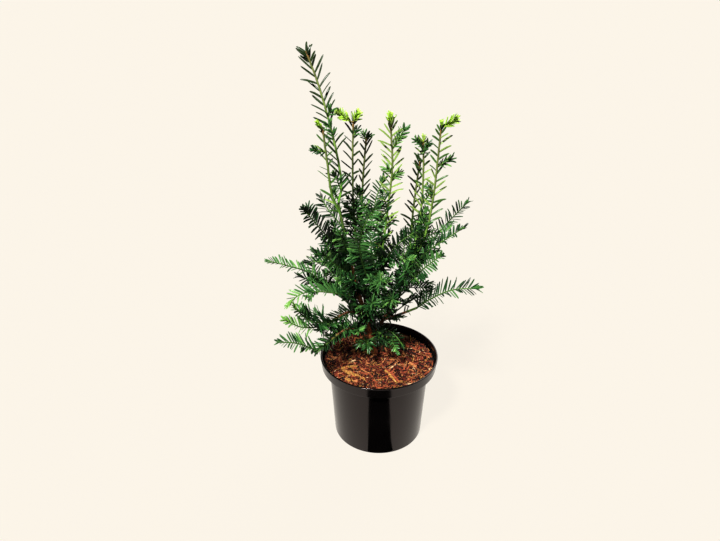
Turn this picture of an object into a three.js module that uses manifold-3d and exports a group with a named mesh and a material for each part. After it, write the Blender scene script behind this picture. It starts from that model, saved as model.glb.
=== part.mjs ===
// A young english yew in a black nursery pot: the pot, the potting soil with its bark mulch,
// the trunk and boughs, and the masses of foliage, each a closed solid.
// Millimetres, +Z up, origin at the middle of the pot's flat underside.

import * as THREE from "three";
import { mergeVertices } from "three/addons/utils/BufferGeometryUtils.js";
import Module from "manifold-3d";

const wasm = await Module();
wasm.setup();

// Pot
const POT_HEIGHT = 131;
const RIM_RADIUS = 85;
const BAND_HEIGHT = 16.5;
const BAND_RADIUS = 83.2;
const BODY_TOP_RADIUS = 72.5;
const BASE_RADIUS = 65.5;
const WALL = 1.6;
const LIP = 2.4;
const BASE_ROUND = 1.5;
const POT_SEGMENTS = 48;

// Gap between neighbouring pieces
const GAP = 0.3;

// Potting soil and mulch
const MULCH_TOP = 121;
const MULCH_EDGE = 118.5;
const FLAT_RADIUS = 27;
const CHIP_COUNT = 26;

// Limbs
const TRUNK_SIDES = 8;
const BOUGH_SIDES = 6;
const RING_STEP = 12;
const COLLAR_REACH = 8;

// Foliage
const STEM_SIDES = 3;
const STEM_STEP = 26;
const NEEDLE_WIDTH = 4.8;
const NEEDLE_THICKNESS = 1.3;
const WIDEST_AT = 0.3;
const SPACE_MARGIN = NEEDLE_WIDTH + GAP;
const TIP_NEEDLES = 9;
const RIM_CLEARANCE = 5;

const RIGHT_ANGLE = Math.PI / 2;
const GOLDEN_ANGLE = 2.4;

// The ways a shoot's flat side can face
const UP = [0, 0, 1];
const FRONT = [0, -1, 0];
const TILTED = [0, -0.7, 0.7];
const BACKWARD = [0, 0.7, 0.7];

// Kinds of shoot: needle length and step along the stem, the angle in degrees at which needles
// stand off it, their scatter out of the flat, and the stem's radius at its foot
const LEADER = { needle: 27, step: 11, open: 44, scatter: 42, radius: 1.9, twigStep: 0 };
const SPRAY = { needle: 24, step: 11.5, open: 58, scatter: 20, radius: 1.5, twigStep: 50 };
const FAN = { needle: 22, step: 8, open: 74, scatter: 180, radius: 1.4, twigStep: 0 };

// Limbs: each leaves another at a share of its length and runs on through the points given
const LIMBS = [
  { name: "trunk", path: [[-5.5, 15.5, 112], [-16, 11, 170], [-36, -3, 259], [-55, -12, 367]],
    foot: 4.4, tip: 1.6, collar: 2.6 },
  { name: "centre_bough", from: "trunk", at: 0.22, path: [[-8, 6, 208], [1, 0, 279]], foot: 2.5 },
  { name: "right_bough", from: "trunk", at: 0.13, path: [[7, 12, 183], [25, 12, 215], [42, 14, 268]],
    foot: 3 },
  { name: "back_bough", from: "trunk", at: 0.27, path: [[-20, 24, 199], [-30, 34, 262]], foot: 2.3 },
  { name: "left_bough", from: "trunk", at: 0.43, path: [[-52, -9, 236], [-76, -19, 254]], foot: 2 },
  { name: "low_left_bough", from: "trunk", at: 0.3, path: [[-44, -8, 205], [-78, -25, 192]], foot: 2 },
  { name: "lowest_left_bough", from: "trunk", at: 0.19, path: [[-48, -22, 185], [-84, -53, 171]],
    foot: 2 },
  { name: "low_right_bough", from: "right_bough", at: 0.3, path: [[26, 6, 192], [52, -1, 208]],
    foot: 2 },
  { name: "back_left_bough", from: "trunk", at: 0.34, path: [[-44, 26, 215], [-60, 45, 228]], foot: 2 },
  { name: "back_right_bough", from: "right_bough", at: 0.45, path: [[32, 34, 218], [46, 52, 232]],
    foot: 2 },
];
const LIMB_TIP_RADIUS = 1.5;
const BOUGH_COLLAR = 0.9;

// Masses of foliage: each grows from a limb at a share of its length, on through the points given.
// twigs lists side twigs as share of the stem, degrees round it from the right, and length.
const MASSES = [
  // upright leaders
  { name: "tall_leader", kind: LEADER, from: "trunk", at: 1, face: FRONT, tint: "dark",
    path: [[-51, -8, 388], [-57, -4, 434], [-76, 4, 508], [-90, 6, 548]], twigs: [[0.52, 10, 20]] },
  { name: "left_leader", kind: LEADER, from: "trunk", at: 0.94, face: FRONT, tint: "mid",
    path: [[-62, -18, 379], [-67, -26, 426], [-72, -34, 478]], twigs: [[0.52, 165, 30]] },
  { name: "back_left_leader", kind: LEADER, from: "back_bough", at: 1, face: FRONT, tint: "dark",
    path: [[-36, 30, 335], [-37, 26, 412], [-36, 22, 463]], twigs: [[0.97, 165, 30], [0.97, 10, 18]] },
  { name: "back_leader", kind: LEADER, from: "back_bough", at: 0.6, face: FRONT, tint: "dark",
    path: [[-26, 44, 292], [-24, 46, 372], [-19, 48, 442]], twigs: [[0.5, 0, 18], [0.62, 180, 18]] },
  { name: "front_leader", kind: LEADER, from: "centre_bough", at: 1, face: FRONT, tint: "fresh",
    path: [[8, -8, 360], [12, -14, 418], [7, -20, 484]],
    twigs: [[0.56, 175, 28], [0.62, 10, 26], [0.74, 20, 34]] },
  { name: "right_leader", kind: LEADER, from: "right_bough", at: 1, face: FRONT, tint: "mid",
    path: [[52, 13, 341], [53, 10, 398], [50, 4, 452]], twigs: [[0.8, 0, 18], [0.84, 180, 20]] },
  { name: "right_back_leader", kind: LEADER, from: "right_bough", at: 0.94, face: FRONT, tint: "dark",
    path: [[42, 30, 300], [44, 30, 343], [50, 24, 420]] },
  { name: "outer_right_leader", kind: LEADER, from: "right_bough", at: 0.89, face: FRONT, tint: "mid",
    path: [[59, 1, 321], [65, -6, 370], [69, -16, 468]],
    twigs: [[0.56, 175, 22], [0.66, 10, 30], [0.97, 20, 26]] },

  // left side
  { name: "upper_left_spray", kind: SPRAY, from: "trunk", at: 0.71, face: TILTED, tint: "dark",
    path: [[-63, -32, 323], [-80, -52, 352], [-96, -66, 381]] },
  { name: "rising_back_left_spray", kind: SPRAY, from: "trunk", at: 0.87, face: TILTED, tint: "dark",
    path: [[-67, 10, 347], [-83, 24, 364]] },
  { name: "left_inner_spray", kind: SPRAY, from: "trunk", at: 0.64, face: FRONT, tint: "mid",
    path: [[-47, -30, 318], [-55, -47, 350]] },
  { name: "mid_left_spray", kind: SPRAY, from: "trunk", at: 0.58, face: TILTED, tint: "mid",
    path: [[-61, -32, 292], [-80, -48, 322]] },
  { name: "left_spray", kind: SPRAY, from: "trunk", at: 0.62, face: TILTED, tint: "dark",
    path: [[-67, -18, 291], [-98, -34, 318]] },
  { name: "level_left_spray", kind: SPRAY, from: "trunk", at: 0.55, face: TILTED, tint: "dark",
    path: [[-74, 4, 276], [-112, 4, 274]] },
  { name: "far_left_spray", kind: SPRAY, from: "left_bough", at: 1, face: TILTED, tint: "mid",
    path: [[-92, -24, 267], [-120, -28, 287], [-150, -30, 297]] },
  { name: "under_left_spray", kind: SPRAY, from: "left_bough", at: 0.6, face: TILTED, tint: "dark",
    path: [[-88, -4, 250], [-113, -4, 260]] },
  { name: "front_left_spray", kind: SPRAY, from: "trunk", at: 0.37, face: TILTED, tint: "fresh",
    path: [[-54, -40, 245], [-101, -66, 271], [-123, -74, 260]] },
  { name: "low_left_spray", kind: SPRAY, from: "low_left_bough", at: 1, face: TILTED, tint: "mid",
    path: [[-107, -40, 203], [-134, -50, 223]] },
  { name: "rising_left_spray", kind: SPRAY, from: "low_left_bough", at: 0.86, face: TILTED,
    tint: "fresh", path: [[-94, -44, 213], [-118, -56, 248]] },
  { name: "lowest_left_spray", kind: SPRAY, from: "lowest_left_bough", at: 1, face: TILTED,
    tint: "mid", path: [[-111, -70, 195], [-139, -84, 205]] },
  { name: "rim_spray", kind: SPRAY, from: "lowest_left_bough", at: 0.45, face: TILTED, tint: "mid",
    path: [[-72, -20, 188], [-96, -28, 180]] },

  // front
  { name: "front_fan", kind: FAN, from: "trunk", at: 0.28, tint: "mid",
    path: [[-14, -30, 225], [-11, -62, 253]] },
  { name: "upper_front_fan", kind: FAN, from: "centre_bough", at: 0.62, tint: "mid",
    path: [[-2, -30, 262], [-1, -58, 284]] },
  { name: "left_front_fan", kind: FAN, from: "trunk", at: 0.48, tint: "dark",
    path: [[-34, -28, 258], [-40, -54, 283]] },
  { name: "right_front_fan", kind: FAN, from: "centre_bough", at: 0.3, tint: "mid",
    path: [[10, -20, 228], [17, -46, 250]] },
  { name: "low_front_fan", kind: FAN, from: "trunk", at: 0.12, tint: "mid",
    path: [[-15, -10, 160], [-19, -36, 163]] },
  { name: "drooping_front_spray", kind: SPRAY, from: "right_bough", at: 0.14, face: TILTED,
    tint: "mid", path: [[18, -8, 171], [39, -24, 150]] },
  { name: "low_right_fan", kind: FAN, from: "trunk", at: 0.165, tint: "dark",
    path: [[2, -14, 174], [9, -36, 164]] },
  { name: "front_left_leader", kind: SPRAY, from: "centre_bough", at: 0.48, face: FRONT,
    tint: "fresh", path: [[-28, -36, 316], [-20, -50, 358], [-1, -54, 389]] },
  { name: "centre_leader", kind: SPRAY, from: "centre_bough", at: 0.7, face: FRONT, tint: "dark",
    path: [[-13, 12, 303], [-7, 20, 359], [7, 24, 398]] },

  // right side
  { name: "far_right_spray", kind: SPRAY, from: "low_right_bough", at: 1, face: TILTED, tint: "dark",
    path: [[69, -6, 222], [102, -14, 247], [137, -20, 250]] },
  { name: "right_mid_spray", kind: SPRAY, from: "right_bough", at: 0.6, face: TILTED, tint: "dark",
    path: [[52, 18, 236], [86, 22, 232]] },
  { name: "right_fan", kind: FAN, from: "right_bough", at: 0.5, tint: "dark",
    path: [[30, -24, 262], [31, -56, 300]] },
  { name: "right_front_spray", kind: SPRAY, from: "right_bough", at: 0.67, face: TILTED, tint: "mid",
    path: [[53, -14, 272], [79, -34, 311]] },
  { name: "upper_right_front_spray", kind: SPRAY, from: "right_bough", at: 0.81, face: TILTED,
    tint: "mid", path: [[60, -2, 293], [84, -14, 315], [111, -26, 340]] },
  { name: "upper_right_spray", kind: SPRAY, from: "right_bough", at: 0.76, face: TILTED, tint: "mid",
    path: [[66, 24, 290], [91, 40, 317], [121, 52, 352]] },
  { name: "inner_right_spray", kind: SPRAY, from: "centre_bough", at: 0.86, face: TILTED,
    tint: "dark", path: [[19, -26, 315], [51, -48, 352]] },

  // back
  { name: "low_back_spray", kind: SPRAY, from: "trunk", at: 0.16, face: BACKWARD, tint: "dark",
    path: [[-12, 60, 185], [-10, 100, 190]] },
  { name: "low_back_left_spray", kind: SPRAY, from: "trunk", at: 0.22, face: BACKWARD, tint: "mid",
    path: [[-55, 50, 195], [-95, 75, 200]] },
  { name: "low_back_right_spray", kind: SPRAY, from: "right_bough", at: 0.24, face: BACKWARD,
    tint: "dark", path: [[45, 50, 200], [80, 80, 205]] },
  { name: "back_left_spray", kind: SPRAY, from: "back_left_bough", at: 1, face: BACKWARD,
    tint: "mid", path: [[-80, 56, 250], [-104, 66, 272]] },
  { name: "rising_left_back_spray", kind: SPRAY, from: "back_left_bough", at: 0.7, face: BACKWARD,
    tint: "dark", path: [[-56, 62, 262], [-66, 84, 292]] },
  { name: "back_spray", kind: SPRAY, from: "back_bough", at: 0.35, face: BACKWARD, tint: "mid",
    path: [[-22, 70, 235], [-24, 106, 255]] },
  { name: "back_right_spray", kind: SPRAY, from: "back_right_bough", at: 1, face: BACKWARD,
    tint: "mid", path: [[66, 64, 250], [94, 76, 264]] },
  { name: "rising_right_back_spray", kind: SPRAY, from: "back_right_bough", at: 0.7, face: BACKWARD,
    tint: "dark", path: [[36, 66, 262], [40, 88, 296]] },
  { name: "upper_back_spray", kind: SPRAY, from: "back_bough", at: 0.9, face: BACKWARD,
    tint: "dark", path: [[-34, 66, 300], [-36, 92, 336]] },
];

const MATERIALS = {
  pot: { color: 0x151515, roughness: 0.38, metalness: 0 },
  mulch: { color: 0x7a452a, roughness: 0.95, metalness: 0 },
  bark: { color: 0x6b4434, roughness: 0.9, metalness: 0 },
  dark: { color: 0x24401f, roughness: 0.5, metalness: 0 },
  mid: { color: 0x3f7a2c, roughness: 0.5, metalness: 0 },
  fresh: { color: 0x7fae3a, roughness: 0.5, metalness: 0 },
};

// ---- solids ----

// A closed geometry as a solid, its shared corners merged and its flat triangles dropped
function solidOf(geometry) {
  geometry.deleteAttribute("normal");
  geometry.deleteAttribute("uv");
  const merged = mergeVertices(geometry, 1e-4);
  const corners = [];
  const index = merged.index.array;
  for (let i = 0; i < index.length; i += 3) {
    const [a, b, c] = [index[i], index[i + 1], index[i + 2]];
    if (a !== b && b !== c && c !== a) {
      corners.push(a, b, c);
    }
  }
  const mesh = new wasm.Mesh({
    numProp: 3,
    vertProperties: new Float32Array(merged.attributes.position.array),
    triVerts: new Uint32Array(corners),
  });
  return new wasm.Manifold(mesh);
}

// The solid's faces as a three.js geometry
function geometryOf(solid) {
  const mesh = solid.getMesh();
  const geometry = new THREE.BufferGeometry();
  geometry.setAttribute("position", new THREE.BufferAttribute(mesh.vertProperties, 3));
  geometry.setIndex(new THREE.BufferAttribute(mesh.triVerts, 1));
  geometry.computeVertexNormals();
  return geometry;
}

// Repeatable chance from 0 to 1 for a seed and a counter
function chance(seed, count) {
  const wave = Math.sin(seed * 12.9898 + count * 78.233) * 43758.5453;
  return wave - Math.floor(wave);
}

function vector([x, y, z]) {
  return new THREE.Vector3(x, y, z);
}

// ---- limbs ----

const limbs = new Map();

// The smooth curve of a limb or stem: it starts on the axis of the limb that bears it
function curveOf(part) {
  const points = part.path.map(vector);
  if (part.from) {
    points.unshift(limbs.get(part.from).curve.getPointAt(part.at));
  }
  return new THREE.CatmullRomCurve3(points, false, "centripetal");
}

// Points along a curve with the stem's radius at each, to measure distances from
function sampled(curve, radiusAt, step) {
  const count = Math.ceil(curve.getLength() / step);
  return Array.from({ length: count + 1 }, (_, i) => {
    const share = i / count;
    return { point: curve.getPointAt(share), radius: radiusAt(share) };
  });
}

// How far a point stands off the surface of a sampled stem
function clearance(point, samples) {
  let least = Infinity;
  const line = new THREE.Line3();
  const nearest = new THREE.Vector3();
  for (let i = 1; i < samples.length; i++) {
    line.set(samples[i - 1].point, samples[i].point);
    line.closestPointToPoint(point, true, nearest);
    least = Math.min(least, nearest.distanceTo(point) - samples[i].radius);
  }
  return least;
}

// A closed tapering stem: a cylinder whose rings ride on a curve, grown all round by `extra`
function stemGeometry(curve, radiusAt, sides, rings, extra = 0) {
  const geometry = new THREE.CylinderGeometry(1, 1, 1, sides, rings);
  const frames = curve.computeFrenetFrames(rings);
  const position = geometry.attributes.position;
  for (let i = 0; i < position.count; i++) {
    const ring = Math.round((position.getY(i) + 0.5) * rings);
    const radius = radiusAt(ring / rings) + extra;
    const point = curve.getPointAt(ring / rings);
    point.addScaledVector(frames.binormals[ring], position.getX(i) * radius);
    point.addScaledVector(frames.normals[ring], position.getZ(i) * radius);
    if (ring === 0) {
      point.addScaledVector(frames.tangents[ring], -extra);
    }
    if (ring === rings) {
      point.addScaledVector(frames.tangents[ring], extra);
    }
    position.setXYZ(i, point.x, point.y, point.z);
  }
  return geometry;
}

// Taper from foot to tip with a collar that swells the first few millimetres
function limbRadius(limb, length) {
  const tip = limb.tip ?? LIMB_TIP_RADIUS;
  const collar = limb.collar ?? BOUGH_COLLAR;
  const reach = COLLAR_REACH / length;
  const start = limb.from ? 0 : (MULCH_TOP - limb.path[0][2]) / length;
  return (share) => {
    const swell = collar * Math.exp(-Math.max(share - start, 0) / reach);
    return THREE.MathUtils.lerp(limb.foot, tip, share) + swell;
  };
}

function makeLimb(limb) {
  const curve = curveOf(limb);
  const length = curve.getLength();
  const radiusAt = limbRadius(limb, length);
  const sides = limb.from ? BOUGH_SIDES : TRUNK_SIDES;
  const rings = Math.ceil(length / RING_STEP);
  let solid = solidOf(stemGeometry(curve, radiusAt, sides, rings));
  if (limb.from) {
    solid = solid.subtract(limbs.get(limb.from).grown);
  } else {
    solid = solid.subtract(groundBlock());
  }
  const grown = solidOf(stemGeometry(curve, radiusAt, sides, rings, GAP));
  const samples = sampled(curve, radiusAt, 6);
  limbs.set(limb.name, { curve, solid, grown, samples });
}

// Everything below the flat cut at the trunk's foot
function groundBlock() {
  const size = 60;
  const block = new THREE.BoxGeometry(size, size, size);
  block.translate(0, 0, MULCH_TOP + GAP - size / 2);
  return solidOf(block);
}

// ---- foliage ----

// One needle: a stretched octahedron from its root along +Y, widest near the root
function needleGeometry(length) {
  const needle = new THREE.OctahedronGeometry(1);
  const position = needle.attributes.position;
  for (let i = 0; i < position.count; i++) {
    const y = position.getY(i);
    const along = y > 0.5 ? 1 : y < -0.5 ? 0 : WIDEST_AT;
    const x = position.getX(i) * NEEDLE_WIDTH / 2;
    const z = position.getZ(i) * NEEDLE_THICKNESS / 2;
    position.setXYZ(i, x, along * length, z);
  }
  return needle;
}

// The frame of a shoot at a share of its length: along it, out to its right, and out of its flat
function frameAt(curve, share, face) {
  const along = curve.getTangentAt(share);
  const right = new THREE.Vector3().crossVectors(along, face).normalize();
  const out = new THREE.Vector3().crossVectors(right, along);
  return { along, right, out };
}

// The direction at an angle off the stem and a turn round it
function directionAt(frame, open, turn) {
  const { along, right, out } = frame;
  const aside = right.clone().multiplyScalar(Math.cos(turn)).addScaledVector(out, Math.sin(turn));
  return along.clone().multiplyScalar(Math.cos(open)).addScaledVector(aside, Math.sin(open));
}

// Whether a point is in the mass's own space: nearer its stem than any other, off every limb,
// and above the mulch and the pot's rim
function inOwnSpace(point, mass) {
  const reach = Math.hypot(point.x, point.y);
  const floor = reach > BODY_TOP_RADIUS ? POT_HEIGHT : MULCH_TOP;
  if (reach < RIM_RADIUS + RIM_CLEARANCE && point.z < floor + RIM_CLEARANCE) {
    return false;
  }
  for (const limb of limbs.values()) {
    if (clearance(point, limb.samples) < SPACE_MARGIN / 2) {
      return false;
    }
  }
  const own = clearance(point, mass.samples);
  return masses.every((other) => other === mass || clearance(point, other.samples) > own + SPACE_MARGIN);
}

// The longest of a few lengths whose whole run stays in the mass's space, or none
function fittedLength(root, direction, length, mass, lengths) {
  return lengths.map((share) => share * length).find((reach) =>
    [0.4, 0.7, 1].every((part) =>
      inOwnSpace(root.clone().addScaledVector(direction, part * reach), mass)));
}

// Needles along a stem, on alternate sides or all round it
function needlesOn(curve, kind, mass, seed, face, radiusAt) {
  const length = curve.getLength();
  const count = Math.floor(length / kind.step);
  const solids = [];
  for (let i = 1; i <= count; i++) {
    const share = i / (count + 0.2);
    const frame = frameAt(curve, share, face);
    const spread = THREE.MathUtils.degToRad(kind.scatter) * (chance(seed, i) - 0.5) * 2;
    const turn = kind.scatter === 180 ? i * GOLDEN_ANGLE : i * Math.PI + spread;
    const tipward = THREE.MathUtils.smoothstep(share, 0.8, 1);
    const open = THREE.MathUtils.degToRad(kind.open) * (1 - 0.5 * tipward);
    const direction = directionAt(frame, open, turn);
    const middle = curve.getPointAt(share);
    const wanted = kind.needle * (1 - 0.3 * tipward) * (0.88 + 0.2 * chance(seed + 1, i));
    const reach = fittedLength(middle, direction, wanted, mass, [1, 0.75, 0.5]);
    if (reach) {
      const sunk = 0.6 * radiusAt(share);
      const across = new THREE.Vector3().crossVectors(direction, frame.out).normalize();
      const thin = new THREE.Vector3().crossVectors(across, direction);
      const place = new THREE.Matrix4().makeBasis(across, direction, thin);
      place.setPosition(middle.addScaledVector(direction, -sunk));
      solids.push(solidOf(needleGeometry(reach + sunk).applyMatrix4(place)));
    }
  }
  return solids;
}

// Side twigs by rule: one every twigStep, on alternate sides, shorter towards the tip
function ruledTwigs(mass) {
  const count = mass.kind.twigStep ? Math.floor(mass.curve.getLength() / mass.kind.twigStep) : 0;
  return Array.from({ length: count }, (_, i) => {
    const share = (i + 0.7) / (count + 0.7);
    const turn = 180 * (i % 2) + 30 * (chance(mass.seed + 2, i) - 0.5);
    return [share, turn, 46 * (1 - 0.5 * share)];
  });
}

function makeMass(mass) {
  const { kind, curve, seed, radiusAt } = mass;
  const rings = Math.ceil(curve.getLength() / STEM_STEP);
  const face = vector(mass.face ?? UP);
  const solids = [solidOf(stemGeometry(curve, radiusAt, STEM_SIDES, rings))];
  solids.push(...needlesOn(curve, kind, mass, seed, face, radiusAt));
  for (const [share, degrees, wanted] of [...(mass.twigs ?? []), ...ruledTwigs(mass)]) {
    const frame = frameAt(curve, share, face);
    const direction = directionAt(frame, 0.8, THREE.MathUtils.degToRad(degrees));
    const foot = curve.getPointAt(share);
    const reach = fittedLength(foot, direction, wanted, mass, [1, 0.8, 0.6]);
    if (reach) {
      const bend = foot.clone().addScaledVector(direction, reach * 0.5);
      const tip = foot.clone().addScaledVector(direction, reach).addScaledVector(frame.along, reach * 0.08);
      const twig = new THREE.QuadraticBezierCurve3(foot, bend, tip);
      const twigRadius = (part) => THREE.MathUtils.lerp(0.7, 0.5, part) * radiusAt(share);
      solids.push(solidOf(stemGeometry(twig, twigRadius, STEM_SIDES, 1)));
      const twigKind = { ...kind, needle: kind.needle * 0.85, scatter: Math.min(kind.scatter, 40) };
      solids.push(...needlesOn(twig, twigKind, mass, seed + share, face, twigRadius));
    }
  }
  let solid = wasm.Manifold.union(solids);
  for (const limb of limbs.values()) {
    solid = solid.subtract(limb.grown);
  }
  return largestPiece(solid);
}

// The main body of a cut solid, without the loose scraps
function largestPiece(solid) {
  return solid.decompose().reduce((best, piece) => (piece.volume() > best.volume() ? piece : best));
}

// ---- pot and mulch ----

// The pot's inner radius at a height on its tapering body
function innerRadius(height) {
  const share = height / (POT_HEIGHT - BAND_HEIGHT);
  return THREE.MathUtils.lerp(BASE_RADIUS, BODY_TOP_RADIUS, share) - WALL;
}

function turned(profile) {
  const points = profile.map(([radius, height]) => new THREE.Vector2(radius, height));
  return solidOf(new THREE.LatheGeometry(points, POT_SEGMENTS).rotateX(RIGHT_ANGLE));
}

// Tapering body, a ledge, and the upright band with its thickened lip
function makePot() {
  const ledge = POT_HEIGHT - BAND_HEIGHT;
  return turned([
    [0, 0],
    [BASE_RADIUS - BASE_ROUND, 0],
    [BASE_RADIUS - BASE_ROUND * 0.3, BASE_ROUND * 0.3],
    [BASE_RADIUS, BASE_ROUND],
    [BODY_TOP_RADIUS, ledge],
    [BAND_RADIUS, ledge],
    [RIM_RADIUS - 0.3, POT_HEIGHT - LIP],
    [RIM_RADIUS, POT_HEIGHT - LIP * 0.6],
    [RIM_RADIUS - 0.4, POT_HEIGHT],
    [RIM_RADIUS - LIP, POT_HEIGHT],
    [BAND_RADIUS - WALL, ledge + WALL],
    [innerRadius(ledge), ledge + WALL],
    [innerRadius(WALL), WALL],
    [0, WALL],
  ]);
}

// Height of the mulch at a distance from the middle: flat, then falling towards the wall
function mulchHeight(radius) {
  const edge = BAND_RADIUS - WALL;
  const fall = THREE.MathUtils.clamp((radius - FLAT_RADIUS) / (edge - FLAT_RADIUS), 0, 1);
  return MULCH_TOP - (MULCH_TOP - MULCH_EDGE) * fall * fall;
}

// A bark chip: a flat wedge lying on the mulch, turned and a little tilted, sunk by half
function chipGeometry(i) {
  const radius = 12 + 62 * Math.sqrt((i + 0.5) / CHIP_COUNT);
  const angle = i * GOLDEN_ANGLE;
  const length = 9 + 14 * chance(3, i);
  const width = 3.6 + 3.4 * chance(5, i);
  const chip = new THREE.BoxGeometry(length, width, 3);
  const position = chip.attributes.position;
  for (let k = 0; k < position.count; k++) {
    if (position.getX(k) > 0) {
      position.setY(k, position.getY(k) * 0.45);
    }
  }
  chip.rotateY(0.16 * (chance(7, i) - 0.5));
  chip.rotateZ(Math.PI * 2 * chance(11, i));
  chip.translate(radius * Math.cos(angle), radius * Math.sin(angle), mulchHeight(radius));
  return chip;
}

// The soil that fills the pot, with the bark mulch and its larger chips on top
function makeMulch() {
  const ledge = POT_HEIGHT - BAND_HEIGHT;
  const floor = WALL + GAP;
  const band = BAND_RADIUS - WALL - GAP;
  const profile = [
    [0, floor],
    [innerRadius(floor) - GAP, floor],
    [innerRadius(ledge) - GAP, ledge + WALL + GAP],
    [band, ledge + WALL + GAP],
    [band, mulchHeight(band)],
    [56, mulchHeight(56)],
    [FLAT_RADIUS, MULCH_TOP],
    [0, MULCH_TOP],
  ];
  const foot = limbs.get("trunk").curve.getPointAt(0.04);
  const solids = [turned(profile)];
  for (let i = 0; i < CHIP_COUNT; i++) {
    const chip = chipGeometry(i);
    chip.computeBoundingSphere();
    const { center, radius } = chip.boundingSphere;
    const away = Math.hypot(center.x - foot.x, center.y - foot.y);
    const inside = Math.hypot(center.x, center.y) + radius < band - GAP;
    if (inside && away > radius + 9) {
      solids.push(solidOf(chip));
    }
  }
  return wasm.Manifold.union(solids);
}

// ---- assembly ----

const group = new THREE.Group();

function addPiece(name, solid, look) {
  const mesh = new THREE.Mesh(geometryOf(solid), new THREE.MeshStandardMaterial(MATERIALS[look]));
  mesh.name = name;
  group.add(mesh);
}

LIMBS.forEach(makeLimb);

// The stem stops short of its last point, so that the needles at its tip end there
function shootCurve(mass) {
  const whole = curveOf(mass);
  const points = whole.points.slice(0, -1);
  points.push(whole.getPointAt(1 - TIP_NEEDLES / whole.getLength()));
  return new THREE.CatmullRomCurve3(points, false, "centripetal");
}

const masses = MASSES.map((mass, i) => {
  const curve = shootCurve(mass);
  const radiusAt = (share) => THREE.MathUtils.lerp(mass.kind.radius, 0.9, share);
  return { ...mass, curve, radiusAt, seed: i * 17 + 5, samples: sampled(curve, radiusAt, 9) };
});

addPiece("pot", makePot(), "pot");
addPiece("mulch", makeMulch(), "mulch");
for (const [name, limb] of limbs) {
  addPiece(name, limb.solid, "bark");
}
for (const mass of masses) {
  addPiece(mass.name, makeMass(mass), mass.tint);
}

export default group;
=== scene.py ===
# An english yew in a black nursery pot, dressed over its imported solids.
# Sizes are millimetres throughout, and addPiece turns them into Blender's metres.
# +Z is up and the front faces -Y.

import math

import bpy
import numpy as np
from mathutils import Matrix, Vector


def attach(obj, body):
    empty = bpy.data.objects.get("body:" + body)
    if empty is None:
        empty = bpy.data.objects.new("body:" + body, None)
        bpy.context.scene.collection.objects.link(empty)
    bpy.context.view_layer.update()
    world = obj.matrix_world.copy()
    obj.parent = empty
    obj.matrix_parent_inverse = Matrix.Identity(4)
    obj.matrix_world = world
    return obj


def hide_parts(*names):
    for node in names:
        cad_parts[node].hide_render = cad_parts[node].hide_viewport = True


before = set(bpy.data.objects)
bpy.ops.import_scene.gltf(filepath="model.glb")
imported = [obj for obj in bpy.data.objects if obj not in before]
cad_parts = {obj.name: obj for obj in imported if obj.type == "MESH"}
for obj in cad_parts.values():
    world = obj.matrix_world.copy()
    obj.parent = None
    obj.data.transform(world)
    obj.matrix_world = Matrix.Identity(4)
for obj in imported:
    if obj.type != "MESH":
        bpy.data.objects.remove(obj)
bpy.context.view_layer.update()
mm = 0.001
goldenAngle = 2.4       # radians from one leaf to the next round a stem
lineSteps = 120         # equal steps of the line of a limb or a mass of foliage


def linearColour(hexText):
    # each sRGB channel c becomes ((c + 0.055) / 1.055) ^ 2.4, or c / 12.92 near black
    channels = [int(hexText[i:i + 2], 16) / 255 for i in (1, 3, 5)]
    return [c / 12.92 if c <= 0.04045 else ((c + 0.055) / 1.055) ** 2.4 for c in channels] + [1]


def darker(hexText, share):
    # the hex colour with each channel cut to a share of itself
    return "#" + "".join(f"{int(int(hexText[i:i + 2], 16) * share):02X}" for i in (1, 3, 5))


def addNode(tree, kind, settings=None, inputs=None, stops=(), into=None):
    # one node with its settings; an input takes a plain value or another node's output, stops are
    # a ramp's (place, hex colour) pairs, and into is the socket that the node's result feeds
    node = tree.nodes.new(kind)
    for key, value in (settings or {}).items():
        setattr(node, key, value)
    for key, value in (inputs or {}).items():
        if isinstance(value, bpy.types.NodeSocket):
            tree.links.new(value, node.inputs[key])
        else:
            node.inputs[key].default_value = value
    for number, (place, hexText) in enumerate(stops):
        ramp = node.color_ramp.elements
        element = ramp[number] if number < len(ramp) else ramp.new(place)
        element.position = place
        element.color = linearColour(hexText)
    if into is not None:
        tree.links.new([socket for socket in node.outputs if socket.enabled][0], into)
    return node


def newMaterial(name, surface):
    # a material of one Principled shader with these socket values
    material = bpy.data.materials.new(name)
    material.use_nodes = True
    tree = material.node_tree
    tree.nodes.clear()
    shader = addNode(tree, "ShaderNodeBsdfPrincipled", inputs=surface)
    addNode(tree, "ShaderNodeOutputMaterial", inputs={"Surface": shader.outputs["BSDF"]})
    return material, tree, shader


def grain(tree, size, detail, stretch=(1, 1, 1)):
    # noise on object coordinates with grains of this size in millimetres, each drawn out by
    # 1 / stretch along its axis
    place = addNode(tree, "ShaderNodeTexCoord")
    turned = addNode(tree, "ShaderNodeMapping", inputs={
        "Vector": place.outputs["Object"], "Scale": stretch})
    noise = addNode(tree, "ShaderNodeTexNoise", inputs={
        "Vector": turned.outputs["Vector"], "Scale": 1 / (size * mm), "Detail": detail})
    return noise.outputs["Fac"]


def smoothStep(low, high, value):
    # 0 below low, 1 above high, and 3 t^2 - 2 t^3 between them
    t = np.clip((value - low) / (high - low), 0, 1)
    return t * t * (3 - 2 * t)


def chance(seed, count):
    # repeatable number from 0 to 1: the broken part of a large sine of the seed and the count
    wave = np.sin(seed * 12.9898 + np.asarray(count) * 78.233) * 43758.5453
    return wave - np.floor(wave)


def unit(vectors):
    # vectors scaled to length one
    return vectors / np.linalg.norm(vectors, axis=-1, keepdims=True)


def turnsOf(count):
    # angles of this many equal parts of a full turn
    return np.arange(count) / count * 2 * math.pi


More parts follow.
